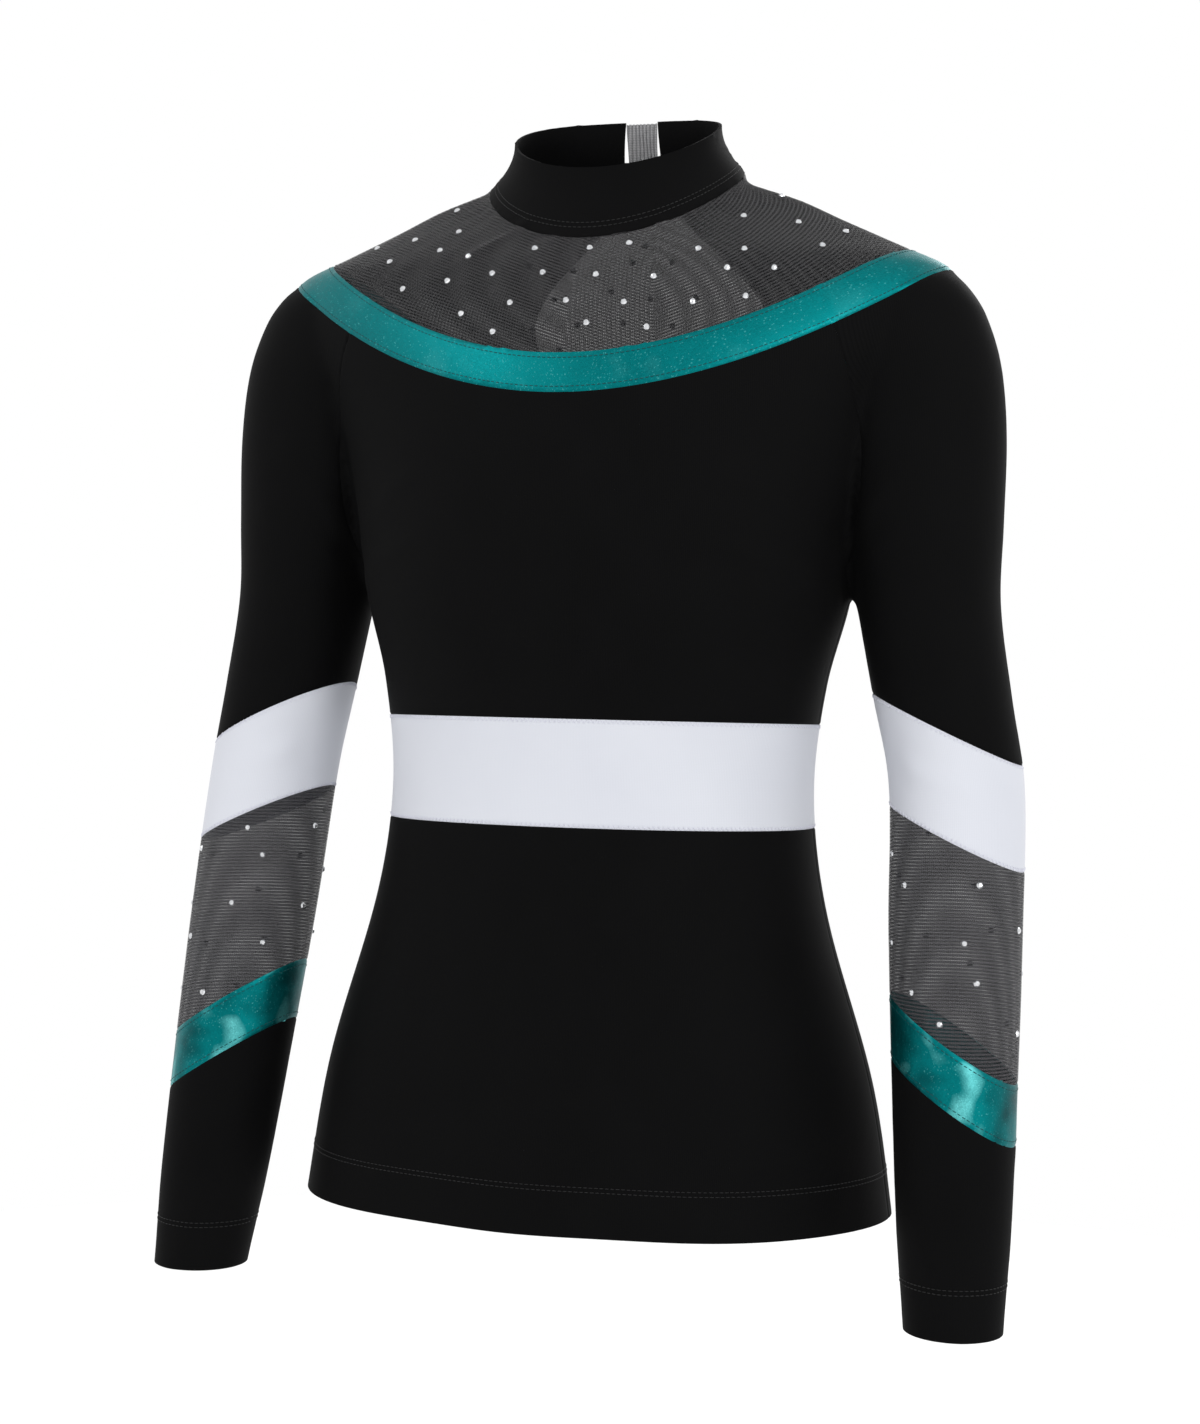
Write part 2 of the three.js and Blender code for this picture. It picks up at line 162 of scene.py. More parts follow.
# level, half width, front depth, back depth, front power, back power
torsoStations = [
    (12, 64, 5, 64, 1.4, 2.2),
    (-1, 71, 20, 74, 1.35, 2),
    (-15, 108, 35, 80, 1.35, 1.7),
    (-28, 135, 48, 85, 1.45, 1.65),
    (-43, 167, 62, 90, 1.6, 1.6),
    (-57, 195, 74, 93, 1.7, 1.7),
    (-80, 198, 87, 96, 1.8, 1.8),
    (-105, 189, 98, 98, 1.85, 1.85),
    (-130, 171, 104, 100, 1.95, 1.95),
    (-165, 156, 109, 100, 2, 2),
    (-205, 146, 110, 98, 2.1, 2.1),
    (-243, 141, 108, 94, 2.1, 2.1),
    (-290, 129, 101, 87, 2.1, 2.1),
    (-350, 123, 95, 83, 2.1, 2.1),
    (-415, 131, 97, 90, 2.1, 2.1),
    (-513, 159, 107, 108, 2.1, 2.1),
    (-587, 171, 115, 113, 2.1, 2.1),
    (-617, 174, 116, 114, 2.1, 2.1),
]

elbow = {"level": -343, "x": 204, "wide": 37.5, "deep": 40}
wrist = {"level": -630, "x": 216.5, "wide": 26.5, "deep": 28, "forward": 62}


def forearmStation(level, fullness):
    share = (level - elbow["level"]) / (wrist["level"] - elbow["level"])
    x = mixed(elbow["x"], wrist["x"], share)
    wide = mixed(wrist["wide"], elbow["wide"], fullness)
    deep = mixed(wrist["deep"], elbow["deep"], fullness)
    return (level, x, -wrist["forward"] * share, wide, deep)


# level, middle x, middle y, half width, half depth
armStations = [
    (-54, 170, 0, 10, 10),
    (-60, 168, 0, 28, 24),
    (-68, 168, 0, 37, 33),
    (-82, 169, 0, 45, 40),
    (-110, 174, 0, 49, 46),
    (-150, 179, 0, 48, 47),
    (-200, 182, 0, 44.5, 46),
    (-243, 186, 0, 40, 43),
    (-295, 195, 0, 38.5, 41),
    (elbow["level"], elbow["x"], 0, elbow["wide"], elbow["deep"]),
    forearmStation(-420, 0.92),
    forearmStation(-500, 0.68),
    forearmStation(-580, 0.36),
    forearmStation(wrist["level"], 0),
    forearmStation(-660, -0.1),
]


def valueAt(stations, column, z):
    z = np.asarray(z, float)
    table = np.array(stations, float)
    level, value = table[:, 0], table[:, column]
    last = len(level) - 1
    before = np.maximum(np.arange(last + 1) - 1, 0)
    after = np.minimum(np.arange(last + 1) + 1, last)
    slope = (value[after] - value[before]) / (level[after] - level[before])
    i = np.clip(np.searchsorted(-level, -z, side="left") - 1, 0, last - 1)
    span = level[i + 1] - level[i]
    t = (z - level[i]) / span
    ease = t * t * (3 - 2 * t)
    leave = t * (1 - t) ** 2 * span * slope[i]
    arrive = t * t * (t - 1) * span * slope[i + 1]
    return value[i] * (1 - ease) + value[i + 1] * ease + leave + arrive


def signedPower(value, power):
    return np.sign(value) * np.abs(value) ** power


def neckPoint(turn, along):
    up = mixed(1.3, -0.3, along)
    flare = np.minimum(1 - up, 1) ** 2
    seam = saddle(neck, neck["halfDepth"] * np.sin(turn))
    edge = saddle(rim, rim["halfDepth"] * np.sin(turn))
    x = mixed(rim["halfWidth"], neck["halfWidth"], flare) * np.cos(turn)
    y = mixed(rim["halfDepth"], neck["halfDepth"], flare) * np.sin(turn)
    return np.stack([x, y, mixed(seam, edge, up)], axis=-1)


def torsoPoint(turn, along):
    z = mixed(torsoStations[0][0], torsoStations[-1][0], along ** 1.35)
    isFront = np.sin(turn) < 0
    at = [valueAt(torsoStations, column, z) for column in range(1, 6)]
    sharpness = 2 / np.where(isFront, at[3], at[4])
    x = at[0] * signedPower(np.cos(turn), sharpness)
    y = np.where(isFront, at[1], at[2]) * signedPower(np.sin(turn), sharpness)
    return np.stack([x, y, z], axis=-1)


def armPoint(turn, along):
    z = mixed(armStations[0][0], armStations[-1][0], along ** 1.2)
    at = [valueAt(armStations, column, z) for column in range(1, 5)]
    x = at[0] + at[2] * np.cos(turn)
    y = at[1] + at[3] * np.sin(turn)
    return np.stack([x, y, z], axis=-1)


formGrid = {"around": 240, "rows": 170, "voxel": 2.6, "smoothing": 10}


def tube(name, place, side=1):
    bpy.ops.object.select_all(action="DESELECT")
    bpy.ops.mesh.primitive_grid_add(
        x_subdivisions=formGrid["around"], y_subdivisions=formGrid["rows"], size=2
    )
    form = bpy.context.object
    form.name = name
    grid = pointsOf(form) * mm
    turn = (grid[:, 0] + 1) * math.pi
    points = place(turn, (1 - grid[:, 1]) / 2)
    points[:, 0] *= side
    setPoints(form, points)
    bpy.ops.object.mode_set(mode="EDIT")
    bpy.ops.mesh.select_all(action="SELECT")
    bpy.ops.mesh.remove_doubles(threshold=1e-5)
    bpy.ops.mesh.fill_holes(sides=0)
    bpy.ops.mesh.select_all(action="SELECT")
    bpy.ops.mesh.normals_make_consistent(inside=False)
    bpy.ops.object.mode_set(mode="OBJECT")
    return form


def wholeForm():
    parts = [
        tube("torsoForm", torsoPoint),
        tube("neckForm", neckPoint),
        tube("leftArmForm", armPoint),
        tube("rightArmForm", armPoint, -1),
    ]
    onlySelect(*parts)
    bpy.ops.object.join()
    form = bpy.context.object
    form.name = "bodyForm"
    applyModifier(form, "REMESH", mode="VOXEL", voxel_size=formGrid["voxel"] * mm)
    applyModifier(form, "SMOOTH", factor=0.5, iterations=formGrid["smoothing"])
    return form


# Soft folds: each runs from one place to another and stands out along a direction.

folds = [
    {"start": (142, -30, -216), "end": (92, -92, -180), "out": (0.3, -0.9, 0), "height": 1.6, "width": 6},
    {"start": (142, -36, -236), "end": (84, -98, -216), "out": (0.3, -0.9, 0), "height": 1.3, "width": 6},
    {"start": (142, 30, -216), "end": (96, 84, -184), "out": (0.3, 0.9, 0), "height": 1.6, "width": 6},
    {"start": (142, 34, -240), "end": (88, 88, -222), "out": (0.3, 0.9, 0), "height": 1.2, "width": 6},
    {"start": (150, -34, -205), "end": (184, -47, -160), "out": (0, -1, 0), "height": 1.8, "width": 7},
    {"start": (152, -36, -222), "end": (196, -42, -196), "out": (0, -1, 0), "height": 1.5, "width": 6},
    {"start": (150, 36, -205), "end": (186, 46, -158), "out": (0, 1, 0), "height": 1.8, "width": 7},
    {"start": (168, -34, -330), "end": (228, -34, -352), "out": (0, -1, 0), "height": 1.2, "width": 7},
    {"start": (172, 34, -318), "end": (232, 34, -300), "out": (0, 1, 0), "height": 1.4, "width": 7},
    {"start": (188, -62, -452), "end": (232, -62, -520), "out": (0.2, -1, 0), "height": 1.5, "width": 7},
    {"start": (226, -50, -470), "end": (242, -36, -540), "out": (0.8, -0.6, 0), "height": 1.4, "width": 6},
    {"start": (194, -84, -560), "end": (222, -88, -628), "out": (0, -1, 0), "height": 1.2, "width": 7},
    {"start": (22, -66, -44), "end": (48, -84, -92), "out": (0, -0.7, 0.7), "height": 1.5, "width": 5},
    {"start": (40, -54, -38), "end": (86, -70, -70), "out": (0, -0.7, 0.7), "height": 1.8, "width": 5},
    {"start": (60, 60, -20), "end": (104, 70, -58), "out": (0, 0.7, 0.7), "height": 1.4, "width": 6},
]

hemWave = {"waves": 7, "height": 1.6, "from": -420}
bothSidesAlike = 0.85


def foldedAt(points):
    moved = points.copy()
    for side in (1, -1):
        mirror = np.array((side, 1, 1))
        for number, fold in enumerate(folds):
            start = np.array(fold["start"]) * mirror
            run = np.array(fold["end"]) * mirror - start
            along = np.clip((points - start) @ run / (run @ run), 0, 1)
            away = np.linalg.norm(points - start - along[:, None] * run, axis=1) / fold["width"]
            height = fold["height"] * (1 if side > 0 else bothSidesAlike + 0.1 * (number % 3))
            bell = height * np.exp(-away ** 2) * (0.55 + 0.45 * np.cos(math.pi * (along - 0.3)))
            moved += bell[:, None] * np.array(fold["out"]) * mirror
    onTorso = np.abs(points[:, 0]) < armholeX(points[:, 2])
    drop = eased((hemWave["from"] - points[:, 2]) / (hemWave["from"] - levels["hem"])) * onTorso
    turn = np.arctan2(points[:, 1], points[:, 0])
    wave = 1 + hemWave["height"] * drop * np.sin(hemWave["waves"] * turn + 0.8) / 140
    moved[:, :2] *= wave[:, None]
    return moved


# Seam lines. Each turns the surface so that its seam lies level, and turns it back.

yokeBand = {
    "frontTop": -115, "backTop": -123, "shoulderX": 170, "shoulderZ": -47, "width": 22, "power": 1.95,
}
shoulderTip = {"x": 195, "z": -57}
elbowBand = {"high": -313, "low": -373, "slope": 24.5}
forearmFoil = {"high": -480.5, "low": -513.5, "slope": 32}
backWindow = {"top": 12, "topLevel": 15, "wide": 74, "level": -72, "bottom": -115}
collarGap = {"top": 10, "bottom": 12.5, "topLevel": 47, "bottomLevel": 13}


def bandCentre(y):
    middle = (yokeBand["frontTop"] + yokeBand["backTop"]) / 2
    return middle + (yokeBand["backTop"] - middle) * np.tanh(y / 12)


def bandTop(p):
    centre = bandCentre(p[:, 1])
    rise = yokeBand["shoulderZ"] - centre
    return centre + rise * (np.abs(p[:, 0]) / yokeBand["shoulderX"]) ** yokeBand["power"]


def bandBottom(p):
    centre = bandCentre(p[:, 1]) - yokeBand["width"]
    share = np.abs(p[:, 0]) / shoulderTip["x"]
    return centre + (shoulderTip["z"] - centre) * share ** yokeBand["power"]


def armholeX(z):
    fall = (-85 - z) / 140
    above = 135 + 8 * fall + 52.4 * fall * (1 - fall)
    level = np.clip(z, -617, 12)
    torsoX = valueAt(torsoStations, 1, level)
    arm = np.clip(z, -660, -60)
    sleeveX = valueAt(armStations, 1, arm) - valueAt(armStations, 3, arm)
    below = (torsoX + sleeveX) / 2
    return np.where(z > -225, above, below)


def slantAt(level, slope):
    centre = float(valueAt(armStations, 1, level))
    return lambda p: level - (np.abs(p[:, 0]) - centre) * math.tan(math.radians(slope))


def heightLine(line):
    return {
        "axis": 2,
        "flat": lambda p: np.column_stack([p[:, 0], p[:, 1], p[:, 2] - line(p)]),
        "back": lambda p: np.column_stack([p[:, 0], p[:, 1], p[:, 2] + line(p)]),
    }


def sideLine(side, line):
    return {
        "axis": 0,
        "flat": lambda p: np.column_stack([side * p[:, 0] - line(p), p[:, 1], p[:, 2]]),
        "back": lambda p: np.column_stack([side * (p[:, 0] + line(p)), p[:, 1], p[:, 2]]),
    }


def windowCurve():
    t = np.linspace(0, 1, 30)
    halfWidth = mixed(backWindow["top"], backWindow["wide"], eased(t))
    level = mixed(backWindow["topLevel"], backWindow["level"], t)
    turn = np.linspace(0, math.pi / 2, 30)[1:]
    x = np.concatenate([[backWindow["top"]], halfWidth, backWindow["wide"] * np.cos(turn) ** 0.8])
    foot = mixed(backWindow["level"], backWindow["bottom"], np.sin(turn))
    z = np.concatenate([[backWindow["topLevel"] + 20], level, foot])
    angle = np.arctan2(x, backWindow["level"] - z)
    order = np.argsort(angle)
    return angle[order], np.hypot(x, z - backWindow["level"])[order]


windowAngle, windowRadius = windowCurve()
angleScale = 60


def windowFlat(p):
    drop = backWindow["level"] - p[:, 2]
    angle = np.arctan2(p[:, 0], drop)
    radius = np.hypot(p[:, 0], drop) - np.interp(np.abs(angle), windowAngle, windowRadius)
    return np.column_stack([angle * angleScale, p[:, 1], radius])


def windowBack(p):
    angle = p[:, 0] / angleScale
    radius = p[:, 2] + np.interp(np.abs(angle), windowAngle, windowRadius)
    return np.column_stack([radius * np.sin(angle), p[:, 1], backWindow["level"] - radius * np.cos(angle)])


def collarEnd(p):
    share = (collarGap["topLevel"] - p[:, 2]) / (collarGap["topLevel"] - collarGap["bottomLevel"])
    return mixed(collarGap["top"], collarGap["bottom"], share)


def neckRadius(angle):
    return 1 / np.hypot(np.sin(angle) / neck["halfWidth"], np.cos(angle) / neck["halfDepth"])


def ringLine(facing):
    def leaning(angle, z):
        radius = neckRadius(angle)
        return radius + z - saddle(neck, -facing * radius * np.cos(angle))

    def flat(p):
        angle = np.arctan2(p[:, 0], -facing * p[:, 1])
        outside = np.hypot(p[:, 0], p[:, 1]) - leaning(angle, p[:, 2])
        return np.column_stack([angle * angleScale, outside, p[:, 2]])

    def back(p):
        angle = p[:, 0] / angleScale
        radius = p[:, 1] + leaning(angle, p[:, 2])
        return np.column_stack([radius * np.sin(angle), -facing * radius * np.cos(angle), p[:, 2]])

    return {"axis": 1, "flat": flat, "back": back}


neckRings = {"front": ringLine(1), "back": ringLine(-1)}
collarRise = heightLine(lambda p: saddle(neck, p[:, 1]))
rimLine = heightLine(lambda p: saddle(rim, p[:, 1]))
bandTopLine = heightLine(bandTop)
bandBottomLine = heightLine(bandBottom)
windowLine = {"axis": 2, "flat": windowFlat, "back": windowBack}
sideSeam = {"axis": 1, "flat": lambda p: p.copy(), "back": lambda p: p.copy()}


def levelLine(level):
    return heightLine(lambda p: np.full(len(p), float(level)))


waistTopLine = levelLine(levels["waistTop"])
waistBottomLine = levelLine(levels["waistBottom"])
hemLine = levelLine(levels["hem"])
cuffLine = levelLine(levels["cuff"])
elbowTopLine = heightLine(slantAt(elbowBand["high"], elbowBand["slope"]))
elbowBottomLine = heightLine(slantAt(elbowBand["low"], elbowBand["slope"]))
foilTopLine = heightLine(slantAt(forearmFoil["high"], forearmFoil["slope"]))
foilBottomLine = heightLine(slantAt(forearmFoil["low"], forearmFoil["slope"]))


def off(line, points):
    return line["flat"](points)[:, line["axis"]]


seamFinish = {"halfWidth": 1.3, "depth": 0.45, "snap": 0.4}
seamsPressed = []


def bisectAlong(piece, line, region, level=0.0, clear=""):
    chosen = region(centresOf(piece))
    flat = line["flat"](pointsOf(piece))
    column = flat[:, line["axis"]]
    column[np.abs(column - level) < seamFinish["snap"]] = level
    setPoints(piece, flat)
    selectFaces(piece, chosen)
    place, normal = [0.0, 0.0, 0.0], [0.0, 0.0, 0.0]
    place[line["axis"]] = level * mm
    normal[line["axis"]] = 1.0
    bpy.ops.object.mode_set(mode="EDIT")
    bpy.ops.mesh.bisect(
        plane_co=place, plane_no=normal, threshold=1e-6,
        clear_outer=clear == "above", clear_inner=clear == "below",
    )
    bpy.ops.object.mode_set(mode="OBJECT")
    setPoints(piece, line["back"](pointsOf(piece)))


def sewSeam(piece, line, region):
    for level in (0.0, seamFinish["halfWidth"], -seamFinish["halfWidth"]):
        bisectAlong(piece, line, region, level)
    seamsPressed.append((line, region))


def pressSeams(piece):
    points = pointsOf(piece)
    inward = normalsOf(piece)
    onSeam = np.zeros(len(points), bool)
    for line, region in seamsPressed:
        onSeam |= (np.abs(off(line, points)) < 0.02) & region(points)
    points[onSeam] -= inward[onSeam] * seamFinish["depth"]
    setPoints(piece, points)


# Regions of the surface.


def everywhere(p):
    return np.ones(len(p), bool)


def nearNeck(p):
    return (np.abs(p[:, 0]) < 95) & (np.abs(p[:, 1]) < 90) & (p[:, 2] > -62)


def onBack(p):
    return p[:, 1] > 20


def belowBand(p):
    return off(bandBottomLine, p) < 0.5


def nearArmhole(side):
    return lambda p: belowBand(p) & (side * p[:, 0] > 100) & (p[:, 2] > -262)


def isCollar(p):
    return (off(neckRings["front"], p) < 0) & nearNeck(p)


def inWindow(p):
    straddles = (np.abs(p[:, 0]) < 4) & (p[:, 2] > backWindow["level"])
    return onBack(p) & ~straddles & ~isCollar(p) & (off(bandTopLine, p) > -0.5)


def notCollar(p):
    return ~isCollar(p)


def onArm(side):
    return lambda p: (side * p[:, 0] > armholeX(p[:, 2])) & (off(bandBottomLine, p) < 0)


def backGap(p):
    return onBack(p) & (np.abs(p[:, 0]) < 30) & (p[:, 2] > -5)


# Cut the whole surface along its seams.

form = wholeForm()
setPoints(form, foldedAt(pointsOf(form)))
print("form:", len(form.data.polygons), "faces")

bisectAlong(form, rimLine, nearNeck, clear="above")
sewSeam(form, neckRings["front"], lambda p: nearNeck(p) & (p[:, 1] < 4))
sewSeam(form, neckRings["back"], lambda p: nearNeck(p) & (p[:, 1] > -4))
sewSeam(form, bandTopLine, lambda p: p[:, 2] > -150)
sewSeam(form, bandBottomLine, lambda p: p[:, 2] > -170)
for side in (1, -1):
    sewSeam(form, sideLine(side, lambda p: armholeX(p[:, 2])), nearArmhole(side))
print("armholes cut")


def separated(piece, chosen, name):
    before = set(bpy.data.objects)
    selectFaces(piece, chosen)
    bpy.ops.object.mode_set(mode="EDIT")
    bpy.ops.mesh.separate(type="SELECTED")
    bpy.ops.object.mode_set(mode="OBJECT")
    part = (set(bpy.data.objects) - before).pop()
    part.name = name
    return part


rightArm = separated(form, onArm(-1)(centresOf(form)), "rightArmForm")
arm = separated(form, onArm(1)(centresOf(form)), "leftArmForm")
bpy.data.objects.remove(rightArm)

for line in (waistTopLine, waistBottomLine):
    sewSeam(form, line, everywhere)
bisectAlong(form, hemLine, everywhere, clear="below")
sewSeam(form, sideSeam, notCollar)
sewSeam(form, windowLine, inWindow)
for side in (1, -1):
    bisectAlong(form, sideLine(side, collarEnd), backGap)

for line in (elbowTopLine, elbowBottomLine, foilTopLine, foilBottomLine):
    sewSeam(arm, line, everywhere)
bisectAlong(arm, cuffLine, everywhere, clear="below")
print("seams cut:", len(form.data.polygons), "+", len(arm.data.polygons), "faces")

for piece in (form, arm):
    pressSeams(piece)

# Stitches are traced on the open surface, before it is parted into panels.


def blob(name, segments, rings, size):
    bpy.ops.object.select_all(action="DESELECT")
    bpy.ops.mesh.primitive_uv_sphere_add(segments=segments, ring_count=rings, radius=mm)
    shape = bpy.context.object
    shape.name = name
    setPoints(shape, pointsOf(shape)[:, (2, 0, 1)] * np.array(size))
    return shape


def copiedAlong(name, shape, places):
    corners = pointsOf(shape)
    faces = [tuple(face.vertices) for face in shape.data.polygons]
    points, loops = [], []
    for number, (place, along, outward) in enumerate(places):
        across = np.cross(outward, along)
        turned = corners[:, :1] * along + corners[:, 1:2] * across + corners[:, 2:] * outward
        points.append(turned + place)
        first = number * len(corners)
        loops += [tuple(first + corner for corner in face) for face in faces]
    mesh = bpy.data.meshes.new(name)
    mesh.from_pydata((np.concatenate(points) * mm).tolist(), [], loops)
    piece = bpy.data.objects.new(name, mesh)
    bpy.context.scene.collection.objects.link(piece)
    onlySelect(piece)
    return piece


def surfaceTree(piece):
    return BVHTree.FromObject(piece, bpy.context.evaluated_depsgraph_get())


def tracedLine(piece, line, level, region):
    points = pointsOf(piece)
    height = off(line, points) - level
    piece.data.calc_loop_triangles()
    corners = np.empty(len(piece.data.loop_triangles) * 3, np.int32)
    piece.data.loop_triangles.foreach_get("vertices", corners)
    corners = corners.reshape(-1, 3)
    up = height[corners] > 0
    crossing = up.any(axis=1) & ~up.all(axis=1)
    crossing &= region(points[corners].mean(axis=1))
    place, beside = {}, {}
    for triangle, above in zip(corners[crossing], up[crossing]):
        single = int(np.argmax(above)) if above.sum() == 1 else int(np.argmin(above))
        ends = []
        for other in (1, 2):
            a, b = sorted((int(triangle[single]), int(triangle[(single + other) % 3])))
            share = height[a] / (height[a] - height[b])
            place[(a, b)] = mixed(points[a], points[b], share)
            ends.append((a, b))
        beside.setdefault(ends[0], []).append(ends[1])
        beside.setdefault(ends[1], []).append(ends[0])
    return chained(place, beside)


def chained(place, beside):
    left = set(beside)
    lines = []
    starts = [key for key in sorted(left) if len(beside[key]) == 1] + sorted(left)
    for start in starts:
        if start not in left:
            continue
        run, key = [], start
        while key is not None:
            left.discard(key)
            run.append(place[key])
            key = next((other for other in beside[key] if other in left), None)
        if len(run) > 8:
            lines.append(np.array(run))
    return lines


def placesAlong(run, pitch, tree, lean=0.0):
    steps = np.linalg.norm(np.diff(run, axis=0), axis=1)
    distance = np.concatenate([[0], np.cumsum(steps)])
    count = int(distance[-1] / pitch)
    places = []
    for number in range(count):
        at = (number + 0.5) * pitch
        ends = [
            np.array([np.interp(at + step, distance, run[:, k]) for k in range(3)])
            for step in (-1.5, 0, 1.5)
        ]
        outward = np.array(tree.find_nearest(Vector(ends[1] * mm))[1])
        along = ends[2] - ends[0]
        along -= outward * (along @ outward)
        if np.linalg.norm(along) < 0.5:
            continue
        along /= np.linalg.norm(along)
        sway = lean * (1 if number % 2 else -1)
        turned = along * math.cos(sway) + np.cross(outward, along) * math.sin(sway)
        places.append((ends[1] + outward * 0.08, turned, outward))
    return places


thread = {"length": 1.15, "width": 0.26, "height": 0.24, "pitch": 2.9}
overlock = {"length": 1.35, "width": 0.24, "height": 0.24, "pitch": 1.35, "lean": 1.0}
threadShape = blob("threadShape", 6, 5, (thread["length"], thread["width"], thread["height"]))
overlockShape = blob("overlockShape", 6, 5, (overlock["length"], overlock["width"], overlock["height"]))


def stitchedRows(name, piece, rows, shape=threadShape, pitch=thread["pitch"], lean=0.0):
    tree = surfaceTree(piece)
    places = []
    for line, level, region in rows:
        for run in tracedLine(piece, line, level, region):
            places += placesAlong(run, pitch, tree, lean)
    print(name, len(places), "stitches")
    return copiedAlong(name, shape, places)


def awayFromGap(p):
    return nearNeck(p) & ((p[:, 1] < 20) | (np.abs(p[:, 0]) > 14))


stitching = {"foilInset": 3.0, "collarRows": (3.6, 5.4), "hemRows": (24.0, 26.4), "whiteInset": 1.0}

edge = stitching["foilInset"]
bandStitches = stitchedRows("yokeBandStitches", form, [
    (bandTopLine, -edge, lambda p: p[:, 2] > -160),
    (bandBottomLine, edge, lambda p: p[:, 2] > -180),
])
collarStitches = stitchedRows("collarStitches", form, [
    (collarRise, row, awayFromGap) for row in stitching["collarRows"]
])
hemStitches = stitchedRows("hemStitches", form, [
    (hemLine, row, everywhere) for row in stitching["hemRows"]
])
whiteEdge = stitching["whiteInset"]
zigzag = {"shape": overlockShape, "pitch": overlock["pitch"], "lean": overlock["lean"]}
waistStitches = stitchedRows("waistBandStitches", form, [
    (waistTopLine, -whiteEdge, everywhere),
    (waistBottomLine, whiteEdge, everywhere),
], **zigzag)
elbowStitches = stitchedRows("elbowBandStitches", arm, [
    (elbowTopLine, -whiteEdge, everywhere),
    (elbowBottomLine, whiteEdge, everywhere),
], **zigzag)
foilStitches = stitchedRows("foilBandStitches", arm, [
    (foilTopLine, -edge, everywhere),
    (foilBottomLine, edge, everywhere),
])
cuffStitches = stitchedRows("cuffStitches", arm, [
    (cuffLine, row, everywhere) for row in stitching["hemRows"]
])

# Stones: staggered rows, each stone strayed a little from its place, kept to the mesh by the seam lines.

stone = {"sides": 10, "radius": 1.9, "table": 1.1, "height": 1.1, "sink": 0.15, "edge": 8.0}
yokeStones = {"top": -18, "rows": 6, "down": 17.0, "columns": 5, "across": 31.0, "stray": 5.0}
sleeveStones = {"top": -376, "rows": 6, "down": 24.0, "around": 5, "strayTurn": 14.0, "strayDown": 7.0}


def stoneShape():
    bpy.ops.object.select_all(action="DESELECT")
    bpy.ops.mesh.primitive_cone_add(
        vertices=stone["sides"], radius1=stone["radius"] * mm, radius2=stone["table"] * mm,
        depth=stone["height"] * mm, location=(0, 0, stone["height"] * mm / 2),
    )
    shape = bpy.context.object
    bpy.ops.object.transform_apply(location=True)
    bpy.ops.object.mode_set(mode="EDIT")
    bpy.context.tool_settings.mesh_select_mode = (False, False, True)
    bpy.ops.mesh.select_all(action="DESELECT")
    bpy.ops.object.mode_set(mode="OBJECT")
    for face in shape.data.polygons:
        face.select = face.normal.z > 0.9
    bpy.ops.object.mode_set(mode="EDIT")
    bpy.ops.mesh.bevel(offset=0.35 * mm, segments=1)
    bpy.ops.mesh.select_all(action="DESELECT")
    bpy.ops.object.mode_set(mode="OBJECT")
    for face in shape.data.polygons:
        face.select = face.normal.z < -0.9
    bpy.ops.object.mode_set(mode="EDIT")
    bpy.ops.mesh.extrude_region_move(TRANSFORM_OT_translate={"value": (0, 0, -0.4 * mm)})
    bpy.ops.object.mode_set(mode="OBJECT")
    shape.name = "stoneShape"
    return shape


def stonePlace(tree, start, towards):
    place, outward, _, _ = tree.ray_cast(Vector(start) * mm, Vector(towards).normalized())
    if place is None:
        return None
    outward = np.array(outward)
    if outward @ np.array(towards) > 0:
        outward = -outward
    spin = Vector((draw.uniform(-1, 1), draw.uniform(-1, 1), draw.uniform(-1, 1)))
    along = np.cross(outward, np.array(spin.normalized()))
    along /= np.linalg.norm(along)
    return np.array(place) / mm + outward * stone["sink"], along, outward


def strayed(reach):
    return draw.uniform(-reach, reach)


def onYokeMesh(place):
    p = place[None]
    return off(bandTopLine, p)[0] > stone["edge"] and off(neckRings["front"], p)[0] > stone["edge"]


def onSleeveMesh(place):
    p = place[None]
    return off(elbowBottomLine, p)[0] < -stone["edge"] and off(foilTopLine, p)[0] > stone["edge"]


def stonesAt(name, tree, rays, onMesh):
    places = [stonePlace(tree, start, towards) for start, towards in rays]
    places = [place for place in places if place is not None and onMesh(place[0])]
    print(name, len(places), "stones")
    return copiedAlong(name, crystal, places)


def stonesOnYoke(name, facing):
    rays = []
    for row in range(yokeStones["rows"]):
        for column in range(-yokeStones["columns"], yokeStones["columns"] + 1):
            x = (column + 0.5 * (row % 2)) * yokeStones["across"] + strayed(yokeStones["stray"])
            z = yokeStones["top"] - row * yokeStones["down"] + strayed(yokeStones["stray"])
            rays.append(((x, facing * 260, z), (0, -facing, 0)))
    return stonesAt(name, surfaceTree(form), rays, onYokeMesh)


def stonesOnSleeve(name):
    rays = []
    for row in range(sleeveStones["rows"]):
        for number in range(sleeveStones["around"]):
            degrees = (number + 0.5 * (row % 2)) * 360 / sleeveStones["around"]
            turn = math.radians(degrees + strayed(sleeveStones["strayTurn"]))
            z = sleeveStones["top"] - row * sleeveStones["down"] + strayed(sleeveStones["strayDown"])
            middle = np.array([valueAt(armStations, 1, z), valueAt(armStations, 2, z), z])
            away = np.array([math.sin(turn), -math.cos(turn), 0])
            rays.append((middle + away * 90, -away))
    return stonesAt(name, surfaceTree(arm), rays, onSleeveMesh)


crystal = stoneShape()
frontCrystals = stonesOnYoke("frontYokeStones", -1)
backCrystals = stonesOnYoke("backYokeStones", 1)
sleeveCrystals = {side: stonesOnSleeve(side + "Stones") for side in ("left", "right")}
print("stones set")

# The pleated strip that joins the two ends of the collar, sewn to the inside.

strip = {"halfWidth": 9.4, "foot": 1.5, "inside": 1.6, "pleats": 8, "pleatDepth": 0.75, "wall": 0.35}


